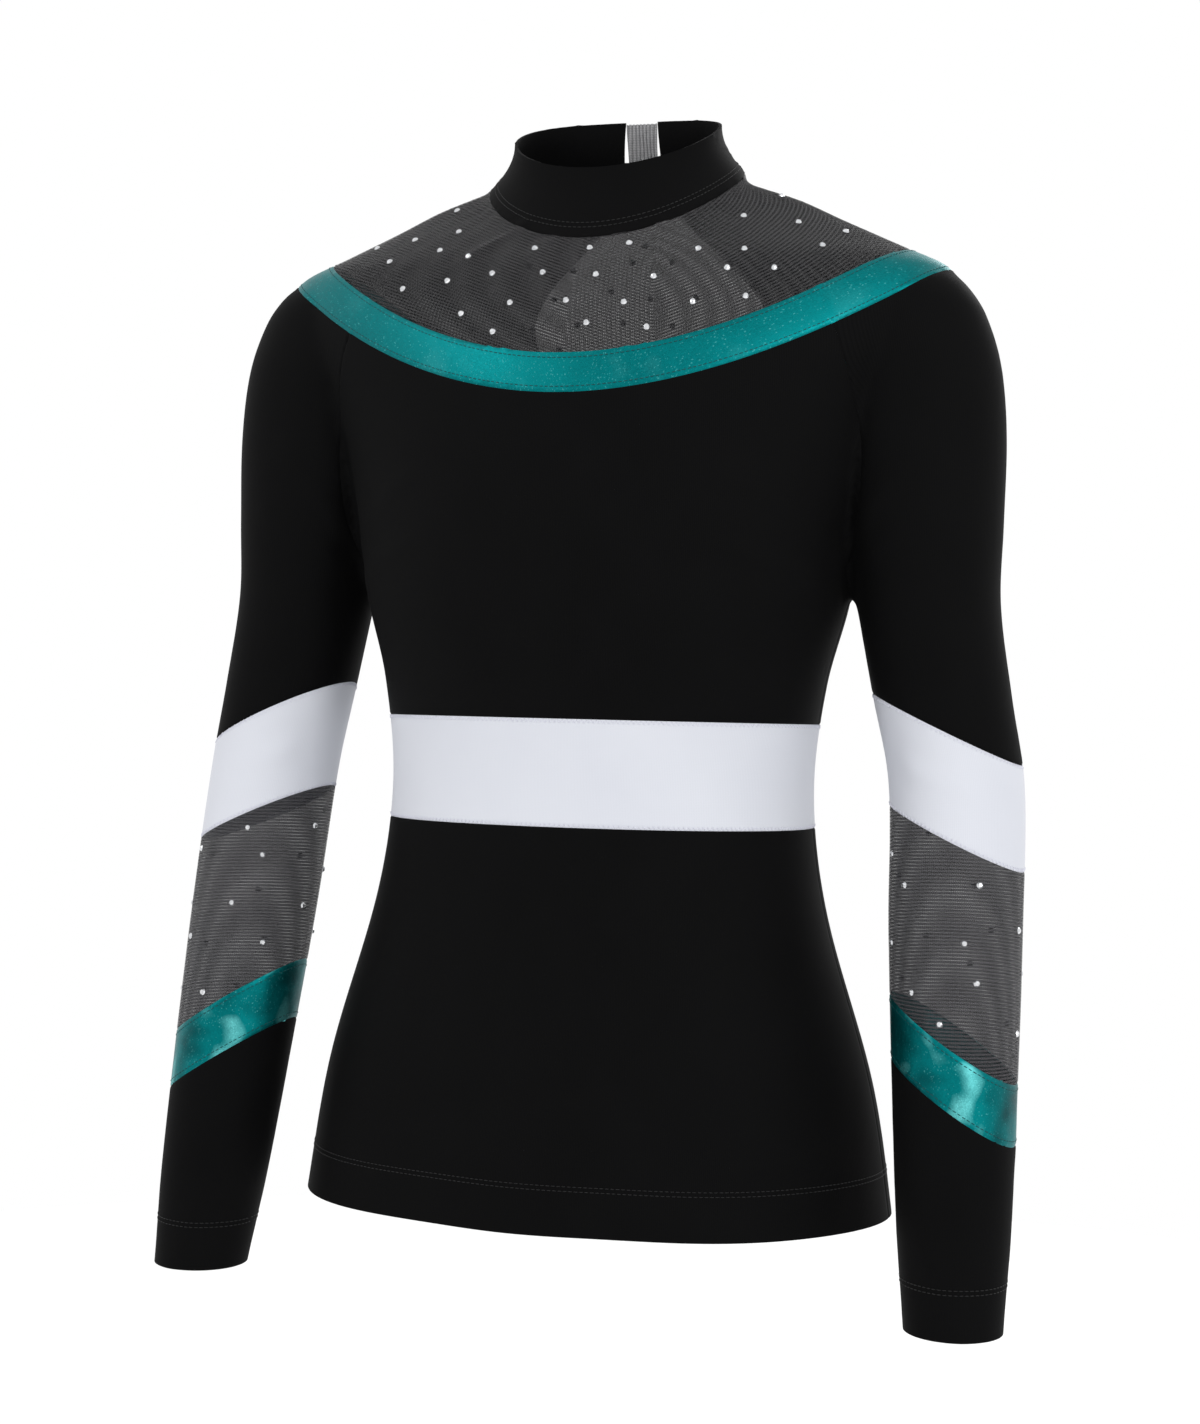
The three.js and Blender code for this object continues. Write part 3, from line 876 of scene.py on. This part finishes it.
def pleatedStrip():
    bpy.ops.object.select_all(action="DESELECT")
    bpy.ops.mesh.primitive_grid_add(x_subdivisions=96, y_subdivisions=40, size=2)
    piece = bpy.context.object
    piece.name = "pleatedStrip"
    grid = pointsOf(piece) * mm
    across, up = grid[:, 0], (grid[:, 1] + 1) / 2
    levelAt = mixed(strip["foot"], collarHigh[2] - 1.0, up)
    seamRise = np.clip((levelAt - neck["back"]) / (rim["back"] - neck["back"]), -0.45, 1)
    depth = mixed(neck["halfDepth"], rim["halfDepth"], np.clip(1 - (1 - seamRise) ** 2, -1.2, 1))
    crowd = np.sin(across * math.pi * strip["pleats"] + 0.9 * np.sin(up * 7 + across * 3))
    narrow = 1 - 0.05 * np.sin(up * math.pi)
    points = np.column_stack([
        across * strip["halfWidth"] * narrow,
        depth - strip["inside"] + strip["pleatDepth"] * crowd,
        levelAt,
    ])
    setPoints(piece, points)
    bpy.ops.object.mode_set(mode="EDIT")
    bpy.ops.mesh.select_all(action="SELECT")
    bpy.ops.mesh.normals_make_consistent(inside=False)
    bpy.ops.object.mode_set(mode="OBJECT")
    return piece


neckStrip = pleatedStrip()

# Finishes.


class Wire:
    def __init__(self, finish, socket):
        self.finish = finish
        self.socket = socket

    def maths(self, operation, *others):
        inputs = {number: value for number, value in enumerate((self, *others))}
        return self.finish.node("ShaderNodeMath", {"operation": operation}, inputs)

    def __add__(self, other):
        return self.maths("ADD", other)

    __radd__ = __add__

    def __mul__(self, other):
        return self.maths("MULTIPLY", other)

    __rmul__ = __mul__

    def __sub__(self, other):
        return self.maths("SUBTRACT", other)

    def __rsub__(self, other):
        return self * -1 + other

    def __pow__(self, other):
        return self.maths("POWER", other)

    def wave(self):
        return self.maths("SINE")

    def size(self):
        return self.maths("ABSOLUTE")

    def atMost(self, other):
        return self.maths("MINIMUM", other)

    def atLeast(self, other):
        return self.maths("MAXIMUM", other)


class Finish:
    def __init__(self, name, fixed):
        self.material = bpy.data.materials.new(name)
        self.material.use_nodes = True
        self.tree = self.material.node_tree
        self.shader = self.tree.nodes["Principled BSDF"]
        for key, value in fixed.items():
            self.shader.inputs[key].default_value = value

    def node(self, kind, settings, inputs, output=0):
        made = self.tree.nodes.new(kind)
        for key, value in settings.items():
            setattr(made, key, value)
        for key, value in inputs.items():
            self.put(made.inputs[key], value)
        return Wire(self, made.outputs[output])

    def put(self, socket, value):
        if isinstance(value, Wire):
            self.tree.links.new(value.socket, socket)
        else:
            socket.default_value = value

    def feed(self, **inputs):
        for key, value in inputs.items():
            self.put(self.shader.inputs[key.replace("_", " ")], value)

    def cloth(self):
        return self.node("ShaderNodeUVMap", {"uv_map": "cloth"}, {})

    def across(self, scale=1.0):
        parts = self.node("ShaderNodeSeparateXYZ", {}, {"Vector": self.cloth()})
        u, v = parts, Wire(self, parts.socket.node.outputs[1])
        return u * scale, v * scale

    def noise(self, scale, detail=2.0, place=None):
        inputs = {"Vector": place or self.cloth(), "Scale": scale, "Detail": detail}
        return self.node("ShaderNodeTexNoise", {}, inputs)

    def cells(self, scale, output):
        return self.node("ShaderNodeTexVoronoi", {}, {"Vector": self.cloth(), "Scale": scale}, output)

    def blendColour(self, share, low, high):
        settings = {"data_type": "RGBA"}
        inputs = {0: share, 6: low if isinstance(low, Wire) else (*low, 1), 7: (*high, 1)}
        return self.node("ShaderNodeMix", settings, inputs, 2)

    def bump(self, height, strength, distance):
        inputs = {"Height": height, "Strength": strength, "Distance": distance * mm}
        self.feed(Normal=self.node("ShaderNodeBump", {}, inputs))


knitLook = {
    "dark": (0.0012, 0.0012, 0.0013), "light": (0.0036, 0.0036, 0.0038), "wale": 1.1, "course": 0.9,
    "drift": 22.0, "waleShare": 0.35, "rough": 0.62, "roughDrift": 0.16, "bump": 0.35, "relief": 0.12,
    "specular": 0.035, "sheen": 0.008,
}
whiteLook = {
    "dark": (0.53, 0.545, 0.6), "light": (0.615, 0.63, 0.675), "wale": 1.0, "course": 0.85,
    "drift": 14.0, "waleShare": 0.25, "rough": 0.66, "roughDrift": 0.12, "bump": 0.3, "relief": 0.1,
    "specular": 0.2, "sheen": 0.08,
}


def makeJersey(name, look):
    fixed = {"Specular IOR Level": look["specular"], "Sheen Weight": look["sheen"], "Sheen Roughness": 0.5}
    finish = Finish(name, fixed)
    u, v = finish.across(1 / mm)
    wale = (u * (math.pi / look["wale"])).wave().size()
    course = (v * (math.pi / look["course"]) + wale * 1.2).wave().size()
    drift = finish.noise(look["drift"])
    share = wale * look["waleShare"] + drift * (1 - look["waleShare"])
    finish.feed(
        Base_Color=finish.blendColour(share, look["dark"], look["light"]),
        Roughness=look["rough"] + drift * look["roughDrift"],
    )
    finish.bump(wale * 0.6 + course * 0.4, look["bump"], look["relief"])
    return finish.material


meshLook = {"row": 1.9, "column": 1.25, "dark": (0.005, 0.005, 0.0056), "light": (0.026, 0.0255, 0.028)}


def makeMesh(name, openness, tone=1.0):
    finish = Finish(name, {"Specular IOR Level": 0.2, "Sheen Weight": 0.05})
    u, v = finish.across(1 / mm)
    drift = finish.noise(30.0)
    rows = (v * (math.pi / meshLook["row"]) + drift * 0.8).wave().size()
    columns = (u * (math.pi / meshLook["column"]) + rows * 0.8).wave().size()
    weave = rows * 0.62 + columns * 0.38
    dark = tuple(tone * part for part in meshLook["dark"])
    light = tuple(tone * part for part in meshLook["light"])
    finish.feed(
        Base_Color=finish.blendColour(weave ** 2.0, dark, light),
        Roughness=0.55 + drift * 0.15,
        Alpha=(weave * 0.7 + (0.6 - openness) + drift * 0.06).atMost(1.0).atLeast(0.0),
    )
    finish.bump(weave, 0.4, 0.15)
    return finish.material


# Foil colours: the first two give its teal tone, the third is a painted shade and the fourth a painted
# highlight.
foilLook = {
    "dark": (0.0, 0.1, 0.108),
    "light": (0.0, 0.2, 0.21),
    "shade": (0.0, 0.03, 0.034),
    "paintedHighlight": (0.16, 0.62, 0.62),
    "grain": 0.6,
}


def makeFoil(name, creaseReliefAndPaintedLight):
    finish = Finish(name, {"Metallic": 0.92, "Specular IOR Level": 0.3})
    cells = finish.cells(1 / (foilLook["grain"] * mm), 1)
    speck = finish.node("ShaderNodeSeparateColor", {}, {"Color": cells})
    fine = finish.noise(1800.0)
    drift = finish.noise(26.0)
    crease = finish.noise(38.0, 1.5)
    # Painted shade: the foil colour is darkened towards a dark teal where the crease noise is low, as in the
    # hollows of creases.
    paintedCreaseShade = ((0.5 - crease) * 5.0).atLeast(0.0).atMost(1.0) * (0.7 * creaseReliefAndPaintedLight)
    # Painted highlights: bright teal patches where the crease noise is high, and bright glints on a few
    # grain cells, are mixed into the base colour.
    paintedCreaseHighlight = ((crease - 0.57) * 9.0).atLeast(0.0).atMost(1.0) * (0.75 * creaseReliefAndPaintedLight)
    paintedGlints = ((speck - 0.95).atLeast(0.0) * 5.0 + paintedCreaseHighlight * (0.6 + speck * 0.4)).atMost(0.9)
    # The teal is darker and lighter at random across the foil: partly its own tone, partly a painted
    # reflection standing in for darker and brighter surroundings.
    body = finish.blendColour(speck * 0.35 + drift * 0.65, foilLook["dark"], foilLook["light"])
    shaded = finish.blendColour(paintedCreaseShade, body, foilLook["shade"])
    withPaintedHighlights = finish.blendColour(paintedGlints, shaded, foilLook["paintedHighlight"])
    finish.feed(Base_Color=withPaintedHighlights, Roughness=0.36 + speck * 0.14 + drift * 0.06)
    finish.bump(speck * 0.4 + fine * 0.2 + crease * (3.0 + 9.0 * creaseReliefAndPaintedLight), 0.4, 0.2)
    return finish.material


def makeGathered():
    finish = Finish("gatheredMesh", {"Specular IOR Level": 0.2})
    drift = finish.noise(300.0)
    u, v = finish.across(1 / mm)
    rows = (v * (math.pi / 1.4)).wave().size()
    colour = finish.blendColour(rows * 0.3 + drift * 0.7, (0.18, 0.18, 0.185), (0.42, 0.42, 0.43))
    finish.feed(Base_Color=colour, Roughness=0.6 + drift * 0.2, Alpha=(rows * 0.2 + 0.78))
    finish.bump(rows + drift, 0.4, 0.15)
    return finish.material


def makeThread(name, dark, light, metallic=0.0):
    finish = Finish(name, {"Specular IOR Level": 0.25, "Metallic": metallic, "Sheen Weight": 0.05})
    place = finish.node("ShaderNodeTexCoord", {}, {}, 3)
    twist = finish.noise(2600.0, 1.0, place)
    finish.feed(Base_Color=finish.blendColour(twist, dark, light), Roughness=0.5 + twist * 0.2)
    finish.bump(twist, 0.3, 0.06)
    return finish.material


def makeCrystal():
    finish = Finish("crystal", {"Metallic": 0.85, "Coat Weight": 0.6, "Coat Roughness": 0.03})
    place = finish.node("ShaderNodeTexCoord", {}, {}, 3)
    tint = finish.noise(420.0, 1.0, place)
    colour = finish.blendColour(tint, (0.34, 0.35, 0.37), (0.9, 0.91, 0.93))
    finish.feed(Base_Color=colour, Roughness=0.08 + tint * 0.12)
    return finish.material


finishes = {
    "knit": makeJersey("blackKnit", knitLook),
    "white": makeJersey("whiteKnit", whiteLook),
    "mesh": makeMesh("powerMesh", 0.51),
    "sleeveMesh": makeMesh("sleeveMesh", 0.49, 2.5),
    "linedMesh": makeMesh("linedMesh", 0.28, 0.8),
    # Both foils have painted shade and painted highlights in their base colour, weak on the yoke band and
    # strong on the sleeves.
    "foil": makeFoil("tealFoil", 0.06),
    "creasedFoilPaintedLight": makeFoil("creasedFoilPaintedLight", 1.0),
    "gathered": makeGathered(),
    "blackThread": makeThread("blackThread", (0.003, 0.003, 0.0032), (0.009, 0.009, 0.0095)),
    "foilThread": makeThread("foilThread", (0.0, 0.03, 0.033), (0.0, 0.09, 0.095), 0.2),
    "whiteThread": makeThread("whiteThread", (0.5, 0.5, 0.58), (0.72, 0.73, 0.8)),
    "crystal": makeCrystal(),
}

cloths = {
    "knit": {"slot": "knit", "wall": 0.9},
    "white": {"slot": "white_knit", "wall": 1.1},
    "mesh": {"slot": "mesh", "wall": 0.45},
    "sleeveMesh": {"slot": "mesh", "wall": 0.45},
    "linedMesh": {"slot": "lined_mesh", "wall": 0.9},
    "foil": {"slot": "foil", "wall": 1.1},
    "creasedFoilPaintedLight": {"slot": "foil", "wall": 1.1},
}

# Panels of the body.

bodyPanels = {
    "collarPanel": {"nodes": ["collar"], "finish": "knit", "wall": 1.7, "radius": 62, "flat": (0.42, 0.07)},
    "frontYoke": {"nodes": ["front_yoke"], "finish": "mesh", "radius": 110, "flat": (0.36, 0.17)},
    "backInsert": {"nodes": ["back_insert"], "finish": "mesh", "radius": 110, "flat": (0.16, 0.15)},
    "backYoke": {"nodes": ["back_yoke"], "finish": "linedMesh", "radius": 110, "flat": (0.36, 0.17)},
    "yokeBandFront": {"nodes": ["yoke_band_front"], "finish": "foil", "radius": 120, "flat": (0.48, 0.06)},
    "yokeBandBack": {"nodes": ["yoke_band_back"], "finish": "foil", "radius": 120, "flat": (0.48, 0.06)},
    "frontBodice": {"nodes": ["front_bodice"], "finish": "knit", "radius": 135, "flat": (0.42, 0.26)},
    "backBodice": {"nodes": ["back_bodice"], "finish": "knit", "radius": 135, "flat": (0.42, 0.26)},
    "waistBandFront": {
        "nodes": ["waist_band_front"], "finish": "white", "radius": 118, "flat": (0.38, 0.062),
    },
    "waistBandBack": {"nodes": ["waist_band_back"], "finish": "white", "radius": 118, "flat": (0.38, 0.062)},
    "lowerFront": {"nodes": ["lower_front"], "finish": "knit", "radius": 140, "flat": (0.5, 0.23)},
    "lowerBack": {"nodes": ["lower_back"], "finish": "knit", "radius": 140, "flat": (0.5, 0.23)},
}


def bodyPanelAt(p):
    front = p[:, 1] < 0
    aboveBand = off(bandTopLine, p) > 0
    inBand = off(bandBottomLine, p) > 0
    onBodice = p[:, 2] > levels["waistTop"]
    onWaist = p[:, 2] > levels["waistBottom"]
    tests = [
        isCollar(p), aboveBand & front, aboveBand & (off(windowLine, p) < 0), aboveBand,
        inBand & front, inBand, onBodice & front, onBodice, onWaist & front, onWaist, front, ~front,
    ]
    return np.select(tests, range(len(tests)))


sleevePanels = {
    "sleeveUpper": {"nodes": ["sleeve_cap", "sleeve_upper"], "finish": "knit", "flat": (0.31, 0.27)},
    "elbowBand": {"nodes": ["sleeve_elbow_band"], "finish": "white", "flat": (0.27, 0.062)},
    "meshSleeve": {"nodes": ["sleeve_mesh"], "finish": "sleeveMesh", "flat": (0.27, 0.12)},
    "forearmFoil": {"nodes": ["sleeve_foil_band"], "finish": "creasedFoilPaintedLight", "flat": (0.25, 0.035)},
    "cuffPanel": {"nodes": ["sleeve_cuff"], "finish": "knit", "flat": (0.23, 0.14)},
}


def sleevePanelAt(p):
    lines = (elbowTopLine, elbowBottomLine, foilTopLine, foilBottomLine)
    tests = [off(line, p) > 0 for line in lines] + [everywhere(p)]
    return np.select(tests, range(len(tests)))


def parted(piece, panels, number):
    piece.data.materials.clear()
    names = list(panels)
    for name in names:
        piece.data.materials.append(bpy.data.materials.new(name + "Mark"))
    piece.data.polygons.foreach_set("material_index", number.astype(np.int32))
    onlySelect(piece)
    bpy.ops.object.mode_set(mode="EDIT")
    bpy.ops.mesh.select_all(action="SELECT")
    bpy.ops.mesh.separate(type="MATERIAL")
    bpy.ops.object.mode_set(mode="OBJECT")
    parts = {}
    for part in list(bpy.context.selected_objects):
        mark = part.data.materials[part.data.polygons[0].material_index].name
        name = mark.removesuffix("Mark")
        part.name = name
        parts[name] = part
    return parts


def layCloth(piece, facing, radius, slope, middle):
    points, centres = pointsOf(piece), centresOf(piece)
    loops = np.empty(len(piece.data.loops), np.int32)
    piece.data.loops.foreach_get("vertex_index", loops)
    total = np.empty(len(piece.data.polygons), np.int32)
    piece.data.polygons.foreach_get("loop_total", total)
    ofFace = np.repeat(np.arange(len(total)), total)

    def turnAt(p):
        x, y = middle(p)
        return np.arctan2(p[:, 0] - x, -facing * (p[:, 1] - y))

    centreTurn = turnAt(centres)[ofFace]
    change = (turnAt(points)[loops] - centreTurn + math.pi) % (2 * math.pi) - math.pi
    u = (centreTurn + change) * radius * mm
    v = (points[loops, 2] - slope * np.abs(points[loops, 0])) * mm
    layer = piece.data.uv_layers.get("cloth") or piece.data.uv_layers.new(name="cloth")
    layer.data.foreach_set("uv", np.column_stack([u, v]).astype(np.float32).ravel())


def areaOf(piece):
    flat = np.empty(len(piece.data.polygons), np.float32)
    piece.data.polygons.foreach_get("area", flat)
    return float(flat.sum())


def smoothed(piece, degrees=48):
    onlySelect(piece)
    bpy.ops.object.shade_smooth_by_angle(angle=math.radians(degrees))


def madeCloth(piece, panel, restsOn):
    area = areaOf(piece)
    panel = {**cloths[panel["finish"]], **panel}
    applyModifier(piece, "SOLIDIFY", thickness=panel["wall"] * mm, offset=-1.0, use_rim=True)
    piece.data.materials.clear()
    piece.data.materials.append(finishes[panel["finish"]])
    smoothed(piece)


centres = centresOf(form)
number = bodyPanelAt(centres)
inGap = (number == 0) & onBack(centres) & (np.abs(centres[:, 0]) < collarEnd(centres))
selectFaces(form, inGap)
bpy.ops.object.mode_set(mode="EDIT")
bpy.ops.mesh.delete(type="FACE")
bpy.ops.object.mode_set(mode="OBJECT")
body = parted(form, bodyPanels, bodyPanelAt(centresOf(form)))
print("body panels:", sorted(body))

restsOn = {
    "collarPanel": ["frontYoke", "backYoke"],
    "frontYoke": ["yokeBandFront", "collarPanel"],
    "backInsert": ["backYoke"],
    "backYoke": ["yokeBandBack", "collarPanel"],
    "yokeBandFront": ["frontYoke", "frontBodice"],
    "yokeBandBack": ["backYoke", "backBodice"],
    "frontBodice": ["yokeBandFront", "backBodice"],
    "backBodice": ["yokeBandBack", "frontBodice"],
    "waistBandFront": ["frontBodice", "waistBandBack"],
    "waistBandBack": ["backBodice", "waistBandFront"],
    "lowerFront": ["waistBandFront", "lowerBack"],
    "lowerBack": ["waistBandBack", "lowerFront"],
}

for name, panel in bodyPanels.items():
    piece = body[name]
    facing = -1 if "back" in name.lower() else 1
    slope = 0.35 if panel["finish"] in ("mesh", "linedMesh", "foil") and panel["radius"] < 130 else 0
    layCloth(piece, facing, panel["radius"], slope, lambda p: (0, 0))
    madeCloth(piece, panel, restsOn[name])
    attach(piece, "root")
    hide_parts(*panel["nodes"])


def dressed(piece, finish, body):
    piece.data.materials.clear()
    piece.data.materials.append(finishes[finish])
    if finish != "crystal":
        smoothed(piece, 80)
    if body:
        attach(piece, body)


layCloth(neckStrip, -1, 60, 0, lambda p: (0, 0))
stripArea = areaOf(neckStrip)
applyModifier(neckStrip, "SOLIDIFY", thickness=strip["wall"] * mm, offset=0.0, use_rim=True)
dressed(neckStrip, "gathered", "root")
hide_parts("keyhole_strip")

dressed(bandStitches, "foilThread", "root")
dressed(collarStitches, "blackThread", "root")
dressed(hemStitches, "blackThread", "root")
dressed(waistStitches, "whiteThread", "root")
dressed(frontCrystals, "crystal", "root")
dressed(backCrystals, "crystal", "root")

# Sleeves: the left is cut first, and the right is its mirror copy.


def mirrored(piece, name):
    copy = bpy.data.objects.new(name, piece.data.copy())
    bpy.context.scene.collection.objects.link(copy)
    points = pointsOf(copy)
    points[:, 0] *= -1
    setPoints(copy, points)
    onlySelect(copy)
    bpy.ops.object.mode_set(mode="EDIT")
    bpy.ops.mesh.select_all(action="SELECT")
    bpy.ops.mesh.flip_normals()
    bpy.ops.object.mode_set(mode="OBJECT")
    return copy


def hangSleeve(piece, part, name):
    if part == "sleeveUpper":
        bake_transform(piece)
    elif part == "elbowBand":
        x = float(valueAt(armStations, 1, elbowBand["high"]))
        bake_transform(piece)
    else:
        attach(piece, f"{name}_lower_sleeve")


sleeve = parted(arm, sleevePanels, sleevePanelAt(centresOf(arm)))
print("sleeve panels:", sorted(sleeve))
sleeveTrim = {
    "elbowBandStitches": (elbowStitches, "whiteThread", "elbowBand"),
    "foilBandStitches": (foilStitches, "foilThread", "forearmFoil"),
    "cuffStitches": (cuffStitches, "blackThread", "cuffPanel"),
    "sleeveStones": (sleeveCrystals, "crystal", "meshSleeve"),
}
panelOrder = list(sleevePanels)


def titled(name, part):
    return name + part[0].upper() + part[1:]


def hangsFrom(name, part):
    above = panelOrder.index(part) - 1
    return [titled(name, panelOrder[above])] if above >= 0 else ["frontBodice", "backBodice"]


def trimFor(name, trim):
    return trim[name] if isinstance(trim, dict) else trim


pairs = {}
for name, side in (("left", 1), ("right", -1)):
    sources = {part: sleeve[part] for part in sleevePanels}
    sources.update({part: trimFor(name, trim) for part, (trim, _, _) in sleeveTrim.items()})
    for part, source in sources.items():
        title = titled(name, part)
        pairs[title] = mirrored(source, title) if side < 0 else source
bpy.data.objects.remove(sleeveCrystals["right"])

for name, side in (("left", 1), ("right", -1)):
    for part, panel in sleevePanels.items():
        piece = pairs[titled(name, part)]
        piece.name = titled(name, part)
        layCloth(
            piece, 1, 40, 0,
            lambda p: (side * valueAt(armStations, 1, p[:, 2]), valueAt(armStations, 2, p[:, 2])),
        )
        madeCloth(piece, panel, hangsFrom(name, part))
        hangSleeve(piece, part, name)
        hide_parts(*[f"{name}_{node}" for node in panel["nodes"]])
    for part, (_, finish, onPanel) in sleeveTrim.items():
        piece = pairs[titled(name, part)]
        piece.name = titled(name, part)
        dressed(piece, finish, None)
        hangSleeve(piece, onPanel, name)

for shape in (threadShape, overlockShape, crystal):
    bpy.data.objects.remove(shape)
print("sleeves hung")

# Floor, light and camera.

stage = {"floor": -900, "radius": 1.5, "floorTone": 0.93}
bpy.ops.object.select_all(action="DESELECT")
bpy.ops.mesh.primitive_circle_add(
    vertices=96, radius=stage["radius"], fill_type="NGON", location=(0, 0, stage["floor"] * mm)
)
floor = bpy.context.object
floor.name = "floor"
tone = stage["floorTone"]
floorLook = {"Roughness": 0.9, "Specular IOR Level": 0.05, "Base Color": (tone, tone, tone, 1)}
floorFinish = Finish("floorPaint", floorLook)
floor.data.materials.append(floorFinish.material)

scene = bpy.context.scene
scene.view_settings.view_transform = "Standard"
world = bpy.data.worlds.new("studio")
scene.world = world
world.use_nodes = True
sky = world.node_tree.nodes["Background"]
sky.inputs["Color"].default_value = (1.0, 1.0, 1.0, 1)
sky.inputs["Strength"].default_value = 1.0

softBoxes = [
    {"name": "keyBox", "place": (1.6, -1.4, 0.5), "size": 0.5, "power": 13},
    {"name": "fillBox", "place": (-1.2, -1.3, 0.9), "size": 0.35, "power": 7},
    {"name": "backBox", "place": (0.6, 1.6, 0.8), "size": 0.6, "power": 7},
]
aimAt = Vector((0, 0, -0.3))
for box in softBoxes:
    light = bpy.data.lights.new(box["name"], "AREA")
    light.shape = "SQUARE"
    light.size = box["size"]
    light.energy = box["power"]
    lamp = bpy.data.objects.new(box["name"], light)
    scene.collection.objects.link(lamp)
    lamp.location = box["place"]
    lamp.rotation_euler = (aimAt - lamp.location).to_track_quat("-Z", "Y").to_euler()

view = {"azimuth": 15.5, "distance": 1350, "aim": (-2.5, 0, -308), "roll": 1.4, "lens": 58.9}
turn = math.radians(view["azimuth"])
roll = math.radians(view["roll"])
away = Vector((math.sin(turn), -math.cos(turn), 0))
right = Vector((math.cos(turn), math.sin(turn), 0))
upward = Vector((0, 0, 1))
tilted = right * math.cos(roll) + upward * math.sin(roll)
upright = upward * math.cos(roll) - right * math.sin(roll)
camera = bpy.data.objects.new("camera", bpy.data.cameras.new("camera"))
scene.collection.objects.link(camera)
camera.data.sensor_fit = "VERTICAL"
camera.data.sensor_height = 36
camera.data.lens = view["lens"]
place = (Vector(view["aim"]) + away * view["distance"]) * mm
camera.matrix_world = Matrix.Translation(place) @ Matrix((tilted, upright, away)).transposed().to_4x4()
scene.camera = camera

print("done")
